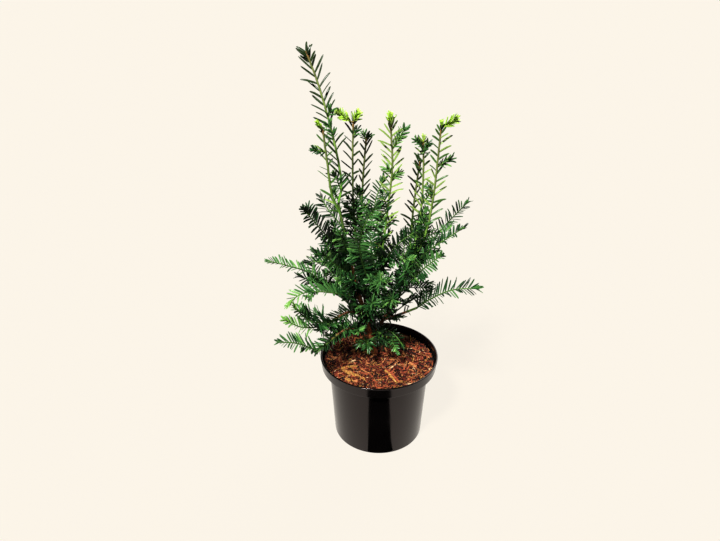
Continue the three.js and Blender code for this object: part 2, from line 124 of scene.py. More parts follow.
def curveThrough(points):
    # centripetal Catmull-Rom curve through the points, in equal steps of length
    given = np.asarray(points, float)
    ends = np.vstack([2 * given[0] - given[1], given, 2 * given[-1] - given[-2]])
    spanSteps = 50
    t = np.linspace(0, 1, spanSteps, endpoint=False)[:, None]
    spans = []
    for a, b, c, d in zip(ends[:-3], ends[1:-2], ends[2:-1], ends[3:]):
        before, here, after = [np.sqrt(np.linalg.norm(v)) for v in (b - a, c - b, d - c)]
        leave = ((b - a) / before - (c - a) / (before + here) + (c - b) / here) * here
        reach = ((c - b) / here - (d - b) / (here + after) + (d - c) / after) * here
        spans.append((2 * t**3 - 3 * t**2 + 1) * b + (t**3 - 2 * t**2 + t) * leave
                     + (3 * t**2 - 2 * t**3) * c + (t**3 - t**2) * reach)
    return evenly(np.vstack([*spans, given[-1:]]), lineSteps + 1)


def evenly(line, count):
    # the same line with points at equal steps of its length
    run = np.concatenate([[0], np.cumsum(np.linalg.norm(np.diff(line, axis=0), axis=1))])
    places = np.linspace(0, run[-1], count)
    return np.column_stack([np.interp(places, run, line[:, k]) for k in range(3)])


def lengthOf(line):
    # sum of the steps
    return np.linalg.norm(np.diff(line, axis=0), axis=1).sum()


def pointAt(line, share):
    # point at a share of an evenly stepped line
    grid = np.linspace(0, 1, len(line))
    return np.stack([np.interp(share, grid, line[:, k]) for k in range(3)], axis=-1)


def frameAt(line, share, face):
    # along runs from just before to just after the place, right = along x face, and
    # out = right x along
    near = 0.01
    along = unit(pointAt(line, np.minimum(share + near, 1)) - pointAt(line, np.maximum(share - near, 0)))
    right = unit(np.cross(along, face))
    return along, right, np.cross(right, along)


def asideAt(lineFrame, turn):
    # cos(turn) right + sin(turn) out
    turn = np.asarray(turn)[..., None]
    return np.cos(turn) * lineFrame[1] + np.sin(turn) * lineFrame[2]


def directionAt(lineFrame, opening, turn):
    # cos(opening) along + sin(opening) aside
    opening = np.asarray(opening)[..., None]
    return np.cos(opening) * lineFrame[0] + np.sin(opening) * asideAt(lineFrame, turn)


def lumps(seed, around, along, shape):
    # smooth noise from 0 to 1 on a grid of rings and sides: random heights on a lattice that
    # closes round the stem, joined by smooth steps
    rings, sides = shape
    lattice = np.random.RandomState(seed).rand(int(along) + 2, int(around))
    v = np.linspace(0, int(along), rings)[:, None]
    u = np.arange(sides)[None, :] / sides * int(around)
    row, column = np.floor(v).astype(int), np.floor(u).astype(int)
    fv, fu = v - row, u - column
    fv, fu = smoothStep(0, 1, fv), smoothStep(0, 1, fu)
    nextColumn = (column + 1) % int(around)
    low = lattice[row, column] * (1 - fu) + lattice[row, nextColumn] * fu
    high = lattice[row + 1, column] * (1 - fu) + lattice[row + 1, nextColumn] * fu
    return low * (1 - fv) + high * fv


def ringsAt(radii, heights, sides):
    # rings round the Z axis: (r cos a, r sin a, z), with heights one to a ring or one to a point
    angle = turnsOf(sides)
    radii = np.asarray(radii, float)[:, None]
    return np.stack([radii * np.cos(angle), radii * np.sin(angle), heights + 0 * angle], axis=-1)


def gridFaces(rings, sides):
    # four-cornered faces between neighbouring rings that close round the sides
    ring, side = np.meshgrid(np.arange(rings - 1), np.arange(sides), indexing="ij")
    here, beside = ring * sides + side, ring * sides + (side + 1) % sides
    return np.stack([here, here + sides, beside + sides, beside], axis=-1).reshape(-1, 4)


def endCaps(rings, sides):
    # triangles that close the first and the last ring onto two points that follow the rings
    side = np.arange(sides)
    beside = (side + 1) % sides
    foot, last = rings * sides, (rings - 1) * sides
    return np.vstack([
        np.column_stack([np.full(sides, foot), side, beside]),
        np.column_stack([np.full(sides, foot + 1), last + beside, last + side])])


def tube(line, radius, sides, face):
    # rings of centre + radius (cos a right + sin a out), closed by a point at each end
    rings = len(line)
    lineFrame = frameAt(line, np.linspace(0, 1, rings), face)
    spokes = asideAt([part[:, None] for part in lineFrame], turnsOf(sides)[None])
    radius = np.broadcast_to(np.asarray(radius).reshape(rings, -1), (rings, sides))
    points = (line[:, None] + radius[..., None] * spokes).reshape(-1, 3)
    return np.vstack([points, line[:1], line[-1:]]), gridFaces(rings, sides), endCaps(rings, sides)


def joined(parts):
    # meshes laid one after another, each one's faces moved on by the points before it
    points, quads, triangles, before = [], [], [], 0
    for part, partQuads, partTriangles in parts:
        points.append(part)
        quads.append(partQuads + before)
        triangles.append(partTriangles + before)
        before += len(part)
    return np.vstack(points), np.vstack(quads), np.vstack(triangles)


def addPiece(name, points, faces, materials, nodes, look=None, values=None):
    # a mesh object on the root body from arrays of points and of faces; look picks each face's
    # material, and values are named numbers at the points
    faces = [f for f in faces if len(f)]
    corners = np.concatenate([np.ravel(f) for f in faces]).astype(np.int32)
    sizes = np.concatenate([np.full(len(f), f.shape[1], np.int32) for f in faces])
    mesh = bpy.data.meshes.new(name)
    mesh.vertices.add(len(points))
    mesh.vertices.foreach_set("co", np.ravel(points * mm).astype(np.float32))
    mesh.loops.add(len(corners))
    mesh.loops.foreach_set("vertex_index", corners)
    mesh.polygons.add(len(sizes))
    mesh.polygons.foreach_set("loop_start", (np.cumsum(sizes) - sizes).astype(np.int32))
    for material in materials:
        mesh.materials.append(material)
    if look is not None:
        mesh.polygons.foreach_set("material_index", look.astype(np.int32))
    mesh.update(calc_edges=True)
    mesh.shade_smooth()
    for key, value in (values or {}).items():
        mesh.attributes.new(key, "FLOAT", "POINT").data.foreach_set("value", value.astype(np.float32))
    piece = bpy.data.objects.new(name, mesh)
    bpy.context.collection.objects.link(piece)
    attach(piece, "root")
    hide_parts(*nodes)
    print("made", name, "with", int((sizes - 2).sum()), "triangles")
    return piece


def sharpen(piece, chosen):
    # marks the edges that `chosen` picks by their two corners as sharp
    edges = np.empty(len(piece.data.edges) * 2, np.int32)
    piece.data.edges.foreach_get("vertices", edges)
    marks = piece.data.attributes.new("sharp_edge", "BOOLEAN", "EDGE")
    marks.data.foreach_set("value", chosen(edges[0::2], edges[1::2]))


view = {
    "place": (-27.6, -747.8, 649.5),
    "down": 27.15,        # degrees below the horizon
    "lens": 31.0,
    "sensor": 36,
    "seesTo": 100000,
    "gamma": 0.86,        # a print's contrast
    "floor": "#2E2C28",
    "glow": "#FBF5EB",
    "floorGlow": 0.95,    # a light table's glow, which washes the shadows out
    "wallGlow": 1.03,
    "sky": "#FFFDFA",
    "skyStrength": 0.035,
    "floorSize": 60000,
    "wallSides": 48,
    # a black card just over the floor before the pot, which only glossy rays see: it paints a dark
    # reflection strip down the pot's front
    "card": [(-17, -64), (22, -64), (47, -121), (74, -240), (-88, -240), (-44, -121)],
    "cardHeight": 0.4,
}

lightColour = "#FFFEFA"
lights = [
    # name, place it shines from, width in degrees, strength
    ("window", (-500, -900, 1300), 8, 7.7),
    ("front", (300, -1500, 900), 50, 0.22),
    ("back", (700, 1300, 1100), 40, 1.3),
]


def makeCamera():
    # looks along +Y and down, from its own place
    data = bpy.data.cameras.new("camera")
    data.lens = view["lens"]
    data.sensor_width = view["sensor"]
    data.clip_end = view["seesTo"] * mm
    camera = bpy.data.objects.new("camera", data)
    camera.location = [v * mm for v in view["place"]]
    camera.rotation_euler = (math.radians(90 - view["down"]), 0, 0)
    bpy.context.collection.objects.link(camera)
    bpy.context.scene.camera = camera


def makeLight(name, place, width, strength):
    # a far, wide soft light whose -Z axis points from its place to the origin
    data = bpy.data.lights.new(name, "SUN")
    data.angle = math.radians(width)
    data.energy = strength
    data.color = linearColour(lightColour)[:3]
    light = bpy.data.objects.new(name, data)
    light.location = [v * mm for v in place]
    light.rotation_euler = (-Vector(place)).to_track_quat("-Z", "Y").to_euler()
    bpy.context.collection.objects.link(light)


def addStage(name, points, faces, materialName, surface, unseenBy):
    # a matt surface of the studio, which some kinds of ray pass by
    mesh = bpy.data.meshes.new(name)
    mesh.from_pydata(points, [], faces)
    material, _, _ = newMaterial(materialName, {"Specular IOR Level": 0.0, **surface})
    mesh.materials.append(material)
    piece = bpy.data.objects.new(name, mesh)
    bpy.context.collection.objects.link(piece)
    for ray in unseenBy:
        setattr(piece, "visible_" + ray, False)


def makeSurroundings():
    # a dim sky, a glowing square floor, a round wall at its edge and the card
    world = bpy.data.worlds.new("soft white room")
    bpy.context.scene.world = world
    world.use_nodes = True
    sky = world.node_tree.nodes["Background"]
    sky.inputs["Color"].default_value = linearColour(view["sky"])
    sky.inputs["Strength"].default_value = view["skyStrength"]
    half = view["floorSize"] / 2 * mm
    glow = linearColour(view["glow"])
    addStage("floor", [(-half, -half, 0), (half, -half, 0), (half, half, 0), (-half, half, 0)],
             [(0, 1, 2, 3)], "matt cream paper", {
                 "Base Color": linearColour(view["floor"]), "Roughness": 0.85,
                 "Emission Color": glow, "Emission Strength": view["floorGlow"]}, ["diffuse"])
    # a pale wall all round, which only the camera sees
    sides = view["wallSides"]
    wall = ringsAt([half, half], np.array([[0], [half]]), sides).reshape(-1, 3)
    addStage("backdrop", wall.tolist(),
             [(i, (i + 1) % sides, (i + 1) % sides + sides, i + sides) for i in range(sides)],
             "pale wall", {
                 "Base Color": linearColour("#000000"),
                 "Emission Color": glow, "Emission Strength": view["wallGlow"]},
             ["diffuse", "glossy", "shadow"])
    # the card is seen only in gloss, as a painted dark reflection strip on the pot
    addStage("painted_reflection_card", [[x * mm, y * mm, view["cardHeight"] * mm] for x, y in view["card"]],
             [range(len(view["card"]))], "matt black card of the painted reflection",
             {"Base Color": linearColour("#030202"), "Roughness": 1.0},
             ["camera", "diffuse", "shadow", "transmission"])
    bpy.context.scene.view_settings.view_transform = "Standard"
    bpy.context.scene.view_settings.gamma = view["gamma"]


makeCamera()
for light in lights:
    makeLight(*light)
makeSurroundings()
print("camera, lights and floor are set")


pot = {
    "height": 131,
    "rim": 85,
    "band": 16.5,         # height of the upright band under the rim
    "bandRadius": 83.2,
    "bodyTop": 72.5,
    "base": 65.5,
    "wall": 1.6,
    "lip": 2.4,
    "segments": 288,
    "dustPatch": 38,
    "textureGrain": 0.9,
    "textureDepth": 0.04,
}


def roundedOutline(corners):
    # each corner (radius, height, rounding) becomes a quadratic curve between the two points
    # that lie `rounding` before and after it
    outline = []
    places = np.array([c[:2] for c in corners], float)
    steps = np.linspace(0, 1, 7)[:, None]
    for i, (radius, height, rounding) in enumerate(corners):
        here = places[i]
        if rounding == 0:
            outline.append(here[None])
            continue
        before = here + unit(places[i - 1] - here) * rounding
        after = here + unit(places[i + 1] - here) * rounding
        outline.append((1 - steps)**2 * before + 2 * steps * (1 - steps) * here + steps**2 * after)
    return np.vstack(outline)


def turned(outline, sides):
    # the outline's inner points turned about the Z axis, closed by its two ends on the axis
    rings = ringsAt(outline[1:-1, 0], outline[1:-1, 1, None], sides)
    ends = np.array([[0, 0, outline[0, 1]], [0, 0, outline[-1, 1]]])
    quads = gridFaces(len(rings), sides)[:, ::-1]
    return np.vstack([rings.reshape(-1, 3), ends]), quads, endCaps(len(rings), sides)[:, [0, 2, 1]]


def makePot():
    # one closed outline, up the outside and down the inside, turned about the Z axis
    height, rim, lip, wall, body = [pot[key] for key in ("height", "rim", "lip", "wall", "bodyTop")]
    ledge = height - pot["band"]
    bandIn = pot["bandRadius"] - wall
    # radius, height and rounding of each corner
    corners = [
        (0, 0, 0),
        (pot["base"], 0, 1.4),
        (body - 0.4, ledge - 5, 0.2),       # a faint moulded step under the band
        (body, ledge, 0.9),
        (pot["bandRadius"], ledge, 1.1),
        (rim - 0.7, height - lip, 0.5),
        (rim, height - lip * 0.9, 0.6),
        (rim, height, 0.9),
        (rim - lip, height, 0.9),
        (bandIn + 0.5, height - lip * 1.3, 0.6),
        (bandIn, ledge + wall, 1.0),
        (body - wall, ledge + wall, 0.9),
        (pot["base"] - wall, wall, 1.0),
        (0, wall, 0),
    ]
    # injection-moulded black polypropylene: smooth satin with a faint mould texture and a
    # little dust dulling it in patches
    plastic, tree, shader = newMaterial("black moulded polypropylene", {
        "Base Color": linearColour("#050404"), "IOR": 1.55, "Specular Tint": linearColour("#F6E4E2")})
    addNode(tree, "ShaderNodeMapRange", inputs={
        "Value": grain(tree, pot["dustPatch"], 2.0), "From Min": 0.35, "From Max": 0.7,
        "To Min": 0.12, "To Max": 0.2}, into=shader.inputs["Roughness"])
    addNode(tree, "ShaderNodeBump", inputs={
        "Height": grain(tree, pot["textureGrain"], 2.0), "Distance": pot["textureDepth"] * mm,
        "Strength": 0.25}, into=shader.inputs["Normal"])
    points, quads, caps = turned(roundedOutline(corners), pot["segments"])
    addPiece("moulded_pot", points, [quads, caps], [plastic], ["pot"])


makePot()


mulch = {
    "top": 121,
    "edge": 118.5,
    "flat": 27,            # radius of the level middle
    "reach": 81,
    "soilSink": 2.2,       # the soil lies this far under the chips
    "soilRipple": 1.3,
    "soilLumps": (30, 14),  # ripples round the pot and outwards
    "soilCrumbs": (90, 40),
    "soilRings": 66,
    "soilSides": 220,
    "wallGap": 2.1,        # from the pot's outside to the soil
    "crumb": 1.6,
    "chips": 6200,
    "usualLength": 1.62,   # natural logarithm of 5 mm
    "lengthSpread": 0.4,
    "lengths": (2.6, 14),
    "slimness": (0.1, 0.26),        # width as a share of length
    "flatness": (0.45, 0.9),        # thickness as a share of width
    "widths": (0.6, 2.4),
    "thicknesses": (0.5, 1.8),
    "heap": 4.6,           # from the lowest chip to the highest
    "lowest": -2.4,
    "tilt": 0.34,          # standard deviations in radians
    "twist": 0.5,
    "wallClear": 2.2,
    "wallTurn": (12, 3),   # from this far off the wall chips start to lie along it, and all do here
    "laidLift": 1.0,
    "laidThickness": 2.4,
    "fibre": 2.2,
    "seed": 41,
}

mulchTints = [
    # name, hex colour, share of the chips
    ("soaked bark", "#250D07", 0.24),
    ("red-brown bark", "#6A291A", 0.31),
    ("orange-brown bark", "#A05032", 0.23),
    ("tan bark", "#BE7C4C", 0.13),
    ("golden split wood", "#BC8A46", 0.06),
    ("pale split wood", "#DDBB8C", 0.025),
]

largeChips = [
    # start and end in the mulch's plane, width, and row of the tints
    ((-54, -23.4), (-31.9, -18.6), 3.2, 4),
    ((-51.7, -29.1), (-20.6, -49), 5.2, 4),
    ((-47.1, -46.8), (-40.1, -52.4), 4.5, 4),
    ((-36.2, -53), (-31.7, -56.5), 5, 3),
    ((7.2, -28.2), (22.2, -55.2), 3.2, 4),
    ((10.2, -27), (25.2, -53.6), 3, 2),
    ((34, 62), (54, 54), 2.6, 5),
    ((5, 13.9), (13.7, 8.8), 3, 2),
    ((-66, -4), (-59, 9), 3, 3),
    ((44, -10), (52, -22), 3, 3),
]


def mulchHeight(radius):
    # level in the middle, then falling by the square of the way to the wall
    fall = np.clip((radius - mulch["flat"]) / (mulch["reach"] - mulch["flat"]), 0, 1)
    return mulch["top"] - (mulch["top"] - mulch["edge"]) * fall * fall


def makeSoil():
    # a filled pot: rings out from the middle over the soil, then down the wall to the floor
    shape = (mulch["soilRings"], mulch["soilSides"])
    radii = np.linspace(1.2, mulch["reach"], shape[0])
    ripple = lumps(mulch["seed"], *mulch["soilLumps"], shape)
    ripple = ripple + 0.5 * lumps(mulch["seed"] + 1, *mulch["soilCrumbs"], shape)
    height = mulchHeight(radii)[:, None] - mulch["soilSink"] + mulch["soilRipple"] * ripple
    gap = mulch["wallGap"]
    ledge = pot["height"] - pot["band"] + gap
    down = ringsAt([mulch["reach"], pot["bodyTop"] - gap, pot["base"] - gap],
                   np.array([[ledge], [ledge], [gap]]), shape[1])
    rings = np.vstack([ringsAt(radii, height, shape[1]), down])
    middle = np.array([[0, 0, height[0].mean()], [0, 0, gap]])
    points = np.vstack([rings.reshape(-1, 3), middle])
    # damp potting soil: matt, crumbly and nearly black-brown
    soil, tree, shader = newMaterial("damp potting soil", {"Roughness": 0.95})
    crumbs = grain(tree, mulch["crumb"], 4.0)
    addNode(tree, "ShaderNodeValToRGB", inputs={"Fac": crumbs}, into=shader.inputs["Base Color"],
            stops=[(0.3, "#0B0504"), (0.55, "#1E0E08"), (0.75, "#45200F")])
    addNode(tree, "ShaderNodeBump", inputs={"Height": crumbs, "Distance": 0.8 * mm, "Strength": 0.8},
            into=shader.inputs["Normal"])
    faces = [gridFaces(len(rings), shape[1]), endCaps(len(rings), shape[1])]
    addPiece("potting_soil", points, faces, [soil], ["mulch"])


def splinters(centre, heading, tilt, roll, length, width, thickness, seed):
    # split chips: three four-cornered rings along each heading, wedge-shaped, with their corners
    # moved a little at random
    count = len(centre)
    flat = np.column_stack([np.cos(heading), np.sin(heading), np.zeros(count)])
    upright = np.tile([0.0, 0, 1], (count, 1))
    along = np.cos(tilt)[:, None] * flat + np.sin(tilt)[:, None] * upright
    across = unit(np.cross(along, upright))
    over = np.cross(across, along)
    sideways = np.cos(roll)[:, None] * across + np.sin(roll)[:, None] * over
    upwards = np.cos(roll)[:, None] * over - np.sin(roll)[:, None] * across
    shake = np.random.RandomState(seed).uniform(-1, 1, (count, 3, 4, 3))
    stations = np.array([-0.5, 0.05, 0.5])
    taper = np.array([0.72, 1.0, 0.5])
    corner = np.array([[0.5, -0.5], [0.5, 0.5], [-0.5, 0.5], [-0.5, -0.5]])
    steps = (stations[None, :, None] + 0.09 * shake[..., 0]) * length[:, None, None]
    wide = corner[:, 0] * taper[:, None] * (1 + 0.3 * shake[..., 1]) * width[:, None, None]
    thick = corner[:, 1] * taper[:, None] * (1 + 0.35 * shake[..., 2]) * thickness[:, None, None]
    points = (centre[:, None, None] + steps[..., None] * along[:, None, None]
              + wide[..., None] * sideways[:, None, None] + thick[..., None] * upwards[:, None, None])
    first = (np.arange(count) * 12)[:, None, None]
    body = first + gridFaces(3, 4)[None]
    ends = first + np.array([[0, 1, 2, 3], [11, 10, 9, 8]])[None]
    return points.reshape(-1, 3), np.concatenate([body, ends], axis=1).reshape(-1, 4)


def scatteredChips():
    # chips all over the disc, long ones kept off the wall and turned along it, each a little
    # tilted; returns their points, faces and rows of the tints
    roll = np.random.RandomState(mulch["seed"])
    count = mulch["chips"]
    radius = (mulch["reach"] - mulch["wallClear"]) * np.sqrt(roll.rand(count))
    angle = roll.rand(count) * 2 * math.pi
    length = np.clip(roll.lognormal(mulch["usualLength"], mulch["lengthSpread"], count), *mulch["lengths"])
    length = np.minimum(length, 4 + 2 * (mulch["reach"] - 1.2 - radius))
    width = np.clip(length * roll.uniform(*mulch["slimness"], count), *mulch["widths"])
    thickness = np.clip(width * roll.uniform(*mulch["flatness"], count), *mulch["thicknesses"])
    lift = roll.rand(count)**1.2 * mulch["heap"] + mulch["lowest"]
    centre = np.column_stack([radius * np.cos(angle), radius * np.sin(angle), mulchHeight(radius) + lift])
    heading = roll.rand(count) * 2 * math.pi
    nearWall = smoothStep(*[mulch["reach"] - gap for gap in mulch["wallTurn"]], radius)
    heading = heading * (1 - nearWall) + (angle + math.pi / 2) * nearWall
    tilt = roll.normal(0, mulch["tilt"], count)
    twist = roll.normal(0, mulch["twist"], count)
    shares = np.cumsum([share for _, _, share in mulchTints])
    tint = np.searchsorted(shares / shares[-1], roll.rand(count))
    chips = splinters(centre, heading, tilt, twist, length, width, thickness, mulch["seed"] + 5)
    return *chips, tint


def laidChips():
    # the large chips lie nearly level on top, each from its start to its end
    start, end, width, tint = [np.array(column, float) for column in zip(*largeChips)]
    number = np.arange(len(tint))
    run = end - start
    middle = (start + end) / 2
    centre = np.column_stack([middle, mulchHeight(np.hypot(*middle.T)) + mulch["laidLift"]])
    chips = splinters(centre, np.arctan2(run[:, 1], run[:, 0]), 0.08 * (chance(3, number) - 0.5),
                      0.3 * (chance(4, number) - 0.5), np.hypot(*run.T), width,
                      np.full(len(tint), mulch["laidThickness"]), mulch["seed"] + 6)
    return *chips, tint


def makeMulch():
    # shredded pine bark: dry, matt and fibrous, red-brown outside and tan where it is split
    barks = []
    for name, hexText, _ in mulchTints:
        bark, tree, shader = newMaterial(name, {"Roughness": 0.9, "Specular IOR Level": 0.3})
        addNode(tree, "ShaderNodeValToRGB", inputs={"Fac": grain(tree, mulch["fibre"], 3.0)},
                stops=[(0.32, darker(hexText, 0.62)), (0.62, hexText)], into=shader.inputs["Base Color"])
        barks.append(bark)
    points, faces, tint = scatteredChips()
    large, largeFaces, largeTint = laidChips()
    looks = np.repeat(np.concatenate([tint, largeTint]), 10)      # ten faces to a chip
    faces = np.vstack([faces, largeFaces + len(points)])
    piece = addPiece("bark_chips", np.vstack([points, large]), [faces], barks, ["mulch"],
                     look=looks)
    piece.data.shade_flat()


makeSoil()
makeMulch()


up = (0, 0, 1)
front = (0, -1, 0)
tilted = (0, -0.7, 0.7)
backward = (0, 0.7, 0.7)
level = (0, -0.2, 0.98)
leaning = (0, -0.42, 0.91)

limbs = [
    # each leaves its bearer at a share of the bearer's length and runs on through the points;
    # collar is how far the foot swells, its short shoots stand from leafyFrom to leafyTo, clad
    # are the kinds of shoot whose needles clothe it and cladSize is their length
    {"name": "trunk", "path": [(-5.5, 15.5, 112), (-16, 11, 170), (-36, -3, 259), (-55, -12, 367)],
     "foot": 4.4, "tip": 1.6, "collar": 2.6, "leafyFrom": 0.2, "leafyTo": 0.78},
    {"name": "centre_bough", "from": "trunk", "at": 0.22, "path": [(-8, 6, 208), (1, 0, 279)], "foot": 2.5},
    {"name": "right_bough", "from": "trunk", "at": 0.13,
     "path": [(7, 12, 183), (25, 12, 215), (42, 14, 268)], "foot": 3},
    {"name": "back_bough", "from": "trunk", "at": 0.27, "path": [(-20, 24, 199), (-30, 34, 262)],
     "foot": 2.3},
    {"name": "left_bough", "from": "trunk", "at": 0.43, "path": [(-52, -9, 236), (-76, -19, 254)],
     "foot": 2},
    {"name": "low_left_bough", "from": "trunk", "at": 0.3, "path": [(-44, -8, 205), (-78, -25, 192)],
     "foot": 2, "clad": ["spray", "fan", "spray"], "cladSize": 1},
    {"name": "lowest_left_bough", "from": "trunk", "at": 0.19, "path": [(-48, -22, 185), (-84, -53, 171)],
     "foot": 2, "leafyTo": 0.5, "clad": ["fan", "spray", "fan", "spray"], "cladSize": 1},
    {"name": "low_right_bough", "from": "right_bough", "at": 0.3, "path": [(26, 6, 192), (52, -1, 208)],
     "foot": 2, "leafyTo": 0.1, "clad": ["spray"], "cladSize": 0.7},
    {"name": "back_left_bough", "from": "trunk", "at": 0.34, "path": [(-44, 26, 215), (-60, 45, 228)],
     "foot": 2},
    {"name": "back_right_bough", "from": "right_bough", "at": 0.45,
     "path": [(32, 34, 218), (46, 52, 232)], "foot": 2},
]

barkRelief = {
    "collarReach": 8,
    "tip": 1.5,
    "collar": 0.9,
    "ringStep": 0.75,
    "trunkSides": 72,
    "boughSides": 44,
    "usual": 5,            # radius of a stem whose relief has the heights below
    "flake": 0.34,
    "edge": (0.44, 0.54),  # where a plate's edge falls on the noise
    "lift": 0.35,          # how much further its edge curls up, as a share of its height
    "liftWidth": 0.06,
    "oldTo": 0.35,         # the share of a limb where its bark starts to grow young
    "young": 0.35,         # how much of the relief a tip keeps
    "furrow": 0.42,
    "grain": 0.12,
    "furrows": (9, 14),    # how many round the stem, and the length of one
    "plates": (7, 7),
    "grains": (26, 2.4),
    "sunk": 6,             # how far the trunk's foot goes into the mulch below its cut
}

limbLines = {}
limbRadii = {}


def limbRadius(limb, share, length):
    # taper from foot to tip, and a collar that fades by e in each collarReach
    start = 0 if "from" in limb else (mulch["top"] - limb["path"][0][2]) / length
    swell = limb.get("collar", barkRelief["collar"])
    swell = swell * np.exp(-np.maximum(share - start, 0) * length / barkRelief["collarReach"])
    return limb["foot"] + (limb.get("tip", barkRelief["tip"]) - limb["foot"]) * share + swell


def radiusAt(name, share):
    # a limb's radius at a share of its length
    return limbRadii[name][int(share * lineSteps)]


def lineOf(part, lines):
    # its curve starts on the axis of the part that bears it
    path = list(part["path"])
    if "from" in part:
        path.insert(0, pointAt(lines[part["from"]], part["at"]))
    return curveThrough(path)


def makeBarkMaterial(name, brownStops):
    # young yew bark: thin red-brown plates that flake to orange, turning green towards the tips
    bark, tree, shader = newMaterial(name, {"Roughness": 0.82, "Specular IOR Level": 0.35})
    fibres = grain(tree, 1.1, 4.0, (1, 1, 0.25))
    plates = grain(tree, 4.0, 2.0, (1, 1, 0.45))
    brown = addNode(tree, "ShaderNodeValToRGB", inputs={"Fac": fibres}, stops=brownStops)
    green = addNode(tree, "ShaderNodeValToRGB", inputs={"Fac": fibres},
                    stops=[(0.3, "#3E5522"), (0.7, "#5E7A30")])
    # brown where age + 0.7 plates is high, green where it is low
    age = addNode(tree, "ShaderNodeAttribute", {"attribute_name": "age"})
    patchy = addNode(tree, "ShaderNodeMath", {"operation": "MULTIPLY_ADD"}, {
        0: plates, 1: 0.7, 2: age.outputs["Fac"]})
    old = addNode(tree, "ShaderNodeMapRange", {"interpolation_type": "SMOOTHSTEP"}, {
        "Value": patchy.outputs["Value"], "From Min": 0.62, "From Max": 0.95})
    addNode(tree, "ShaderNodeMix", {"data_type": "RGBA"}, {
        "Factor": old.outputs["Result"], "A": green.outputs["Color"], "B": brown.outputs["Color"]},
        into=shader.inputs["Base Color"])
    addNode(tree, "ShaderNodeBump", inputs={"Height": fibres, "Distance": 0.3 * mm, "Strength": 0.6},
            into=shader.inputs["Normal"])
    return bark


def makeLimb(limb, bark, seed):
    # a tube whose radius is the limb's taper plus furrows, plates with lifted edges and grain,
    # all lower towards its thin young end
    line = lineOf(limb, limbLines)
    length = lengthOf(line)
    limbLines[limb["name"]] = line
    limbRadii[limb["name"]] = limbRadius(limb, np.linspace(0, 1, lineSteps + 1), length)
    sides = barkRelief["boughSides"]
    if "from" not in limb:
        sides = barkRelief["trunkSides"]
        whole = np.vstack([line[:1] - (0, 0, barkRelief["sunk"]), line])
        line = evenly(whole, len(line))
    rings = int(length / barkRelief["ringStep"])
    share = np.linspace(0, 1, rings)
    plain = limbRadius(limb, share, length)
    furrow, plate, grains = [
        lumps(seed + number, around, length / run, (rings, sides))
        for number, (around, run) in enumerate(barkRelief[key] for key in ("furrows", "plates", "grains"))]
    lifted = barkRelief["lift"] * (np.abs(plate - 0.5) < barkRelief["liftWidth"])
    relief = (barkRelief["furrow"] * (furrow - 0.5)
              + barkRelief["flake"] * (smoothStep(*barkRelief["edge"], plate) - 0.5 + lifted)
              + barkRelief["grain"] * (grains - 0.5))
    old = 1 - smoothStep(barkRelief["oldTo"], 1.0, share)
    young = barkRelief["young"]
    radius = plain[:, None] + relief * (plain / barkRelief["usual"] * (young + (1 - young) * old))[:, None]
    points, quads, caps = tube(evenly(line, rings), radius, sides, (0.2, -1, 0.1))
    age = np.concatenate([np.repeat(old, sides), [1.0, 0.0]])
    addPiece(limb["name"] + "_bark", points, [quads, caps], [bark], [limb["name"]],
             values={"age": age})


# the old trunk's plates are redder than a bough's, and painted paler too, to make up for the shade the
# foliage casts on the trunk
shadeLiftedTrunkBark = makeBarkMaterial("flaking yew bark of the trunk, painted paler against shade", [
    (0.26, "#52260F"), (0.42, "#B05E34"), (0.58, "#DC8A56"), (0.78, "#EEBC94")])
yewBark = makeBarkMaterial("flaking yew bark of a bough", [
    (0.28, "#3C2211"), (0.46, "#6E4529"), (0.6, "#946444"), (0.78, "#B88C64")])
for number, limb in enumerate(limbs):
    makeLimb(limb, yewBark if "from" in limb else shadeLiftedTrunkBark, 100 + number * 7)
print("trunk and boughs are made")


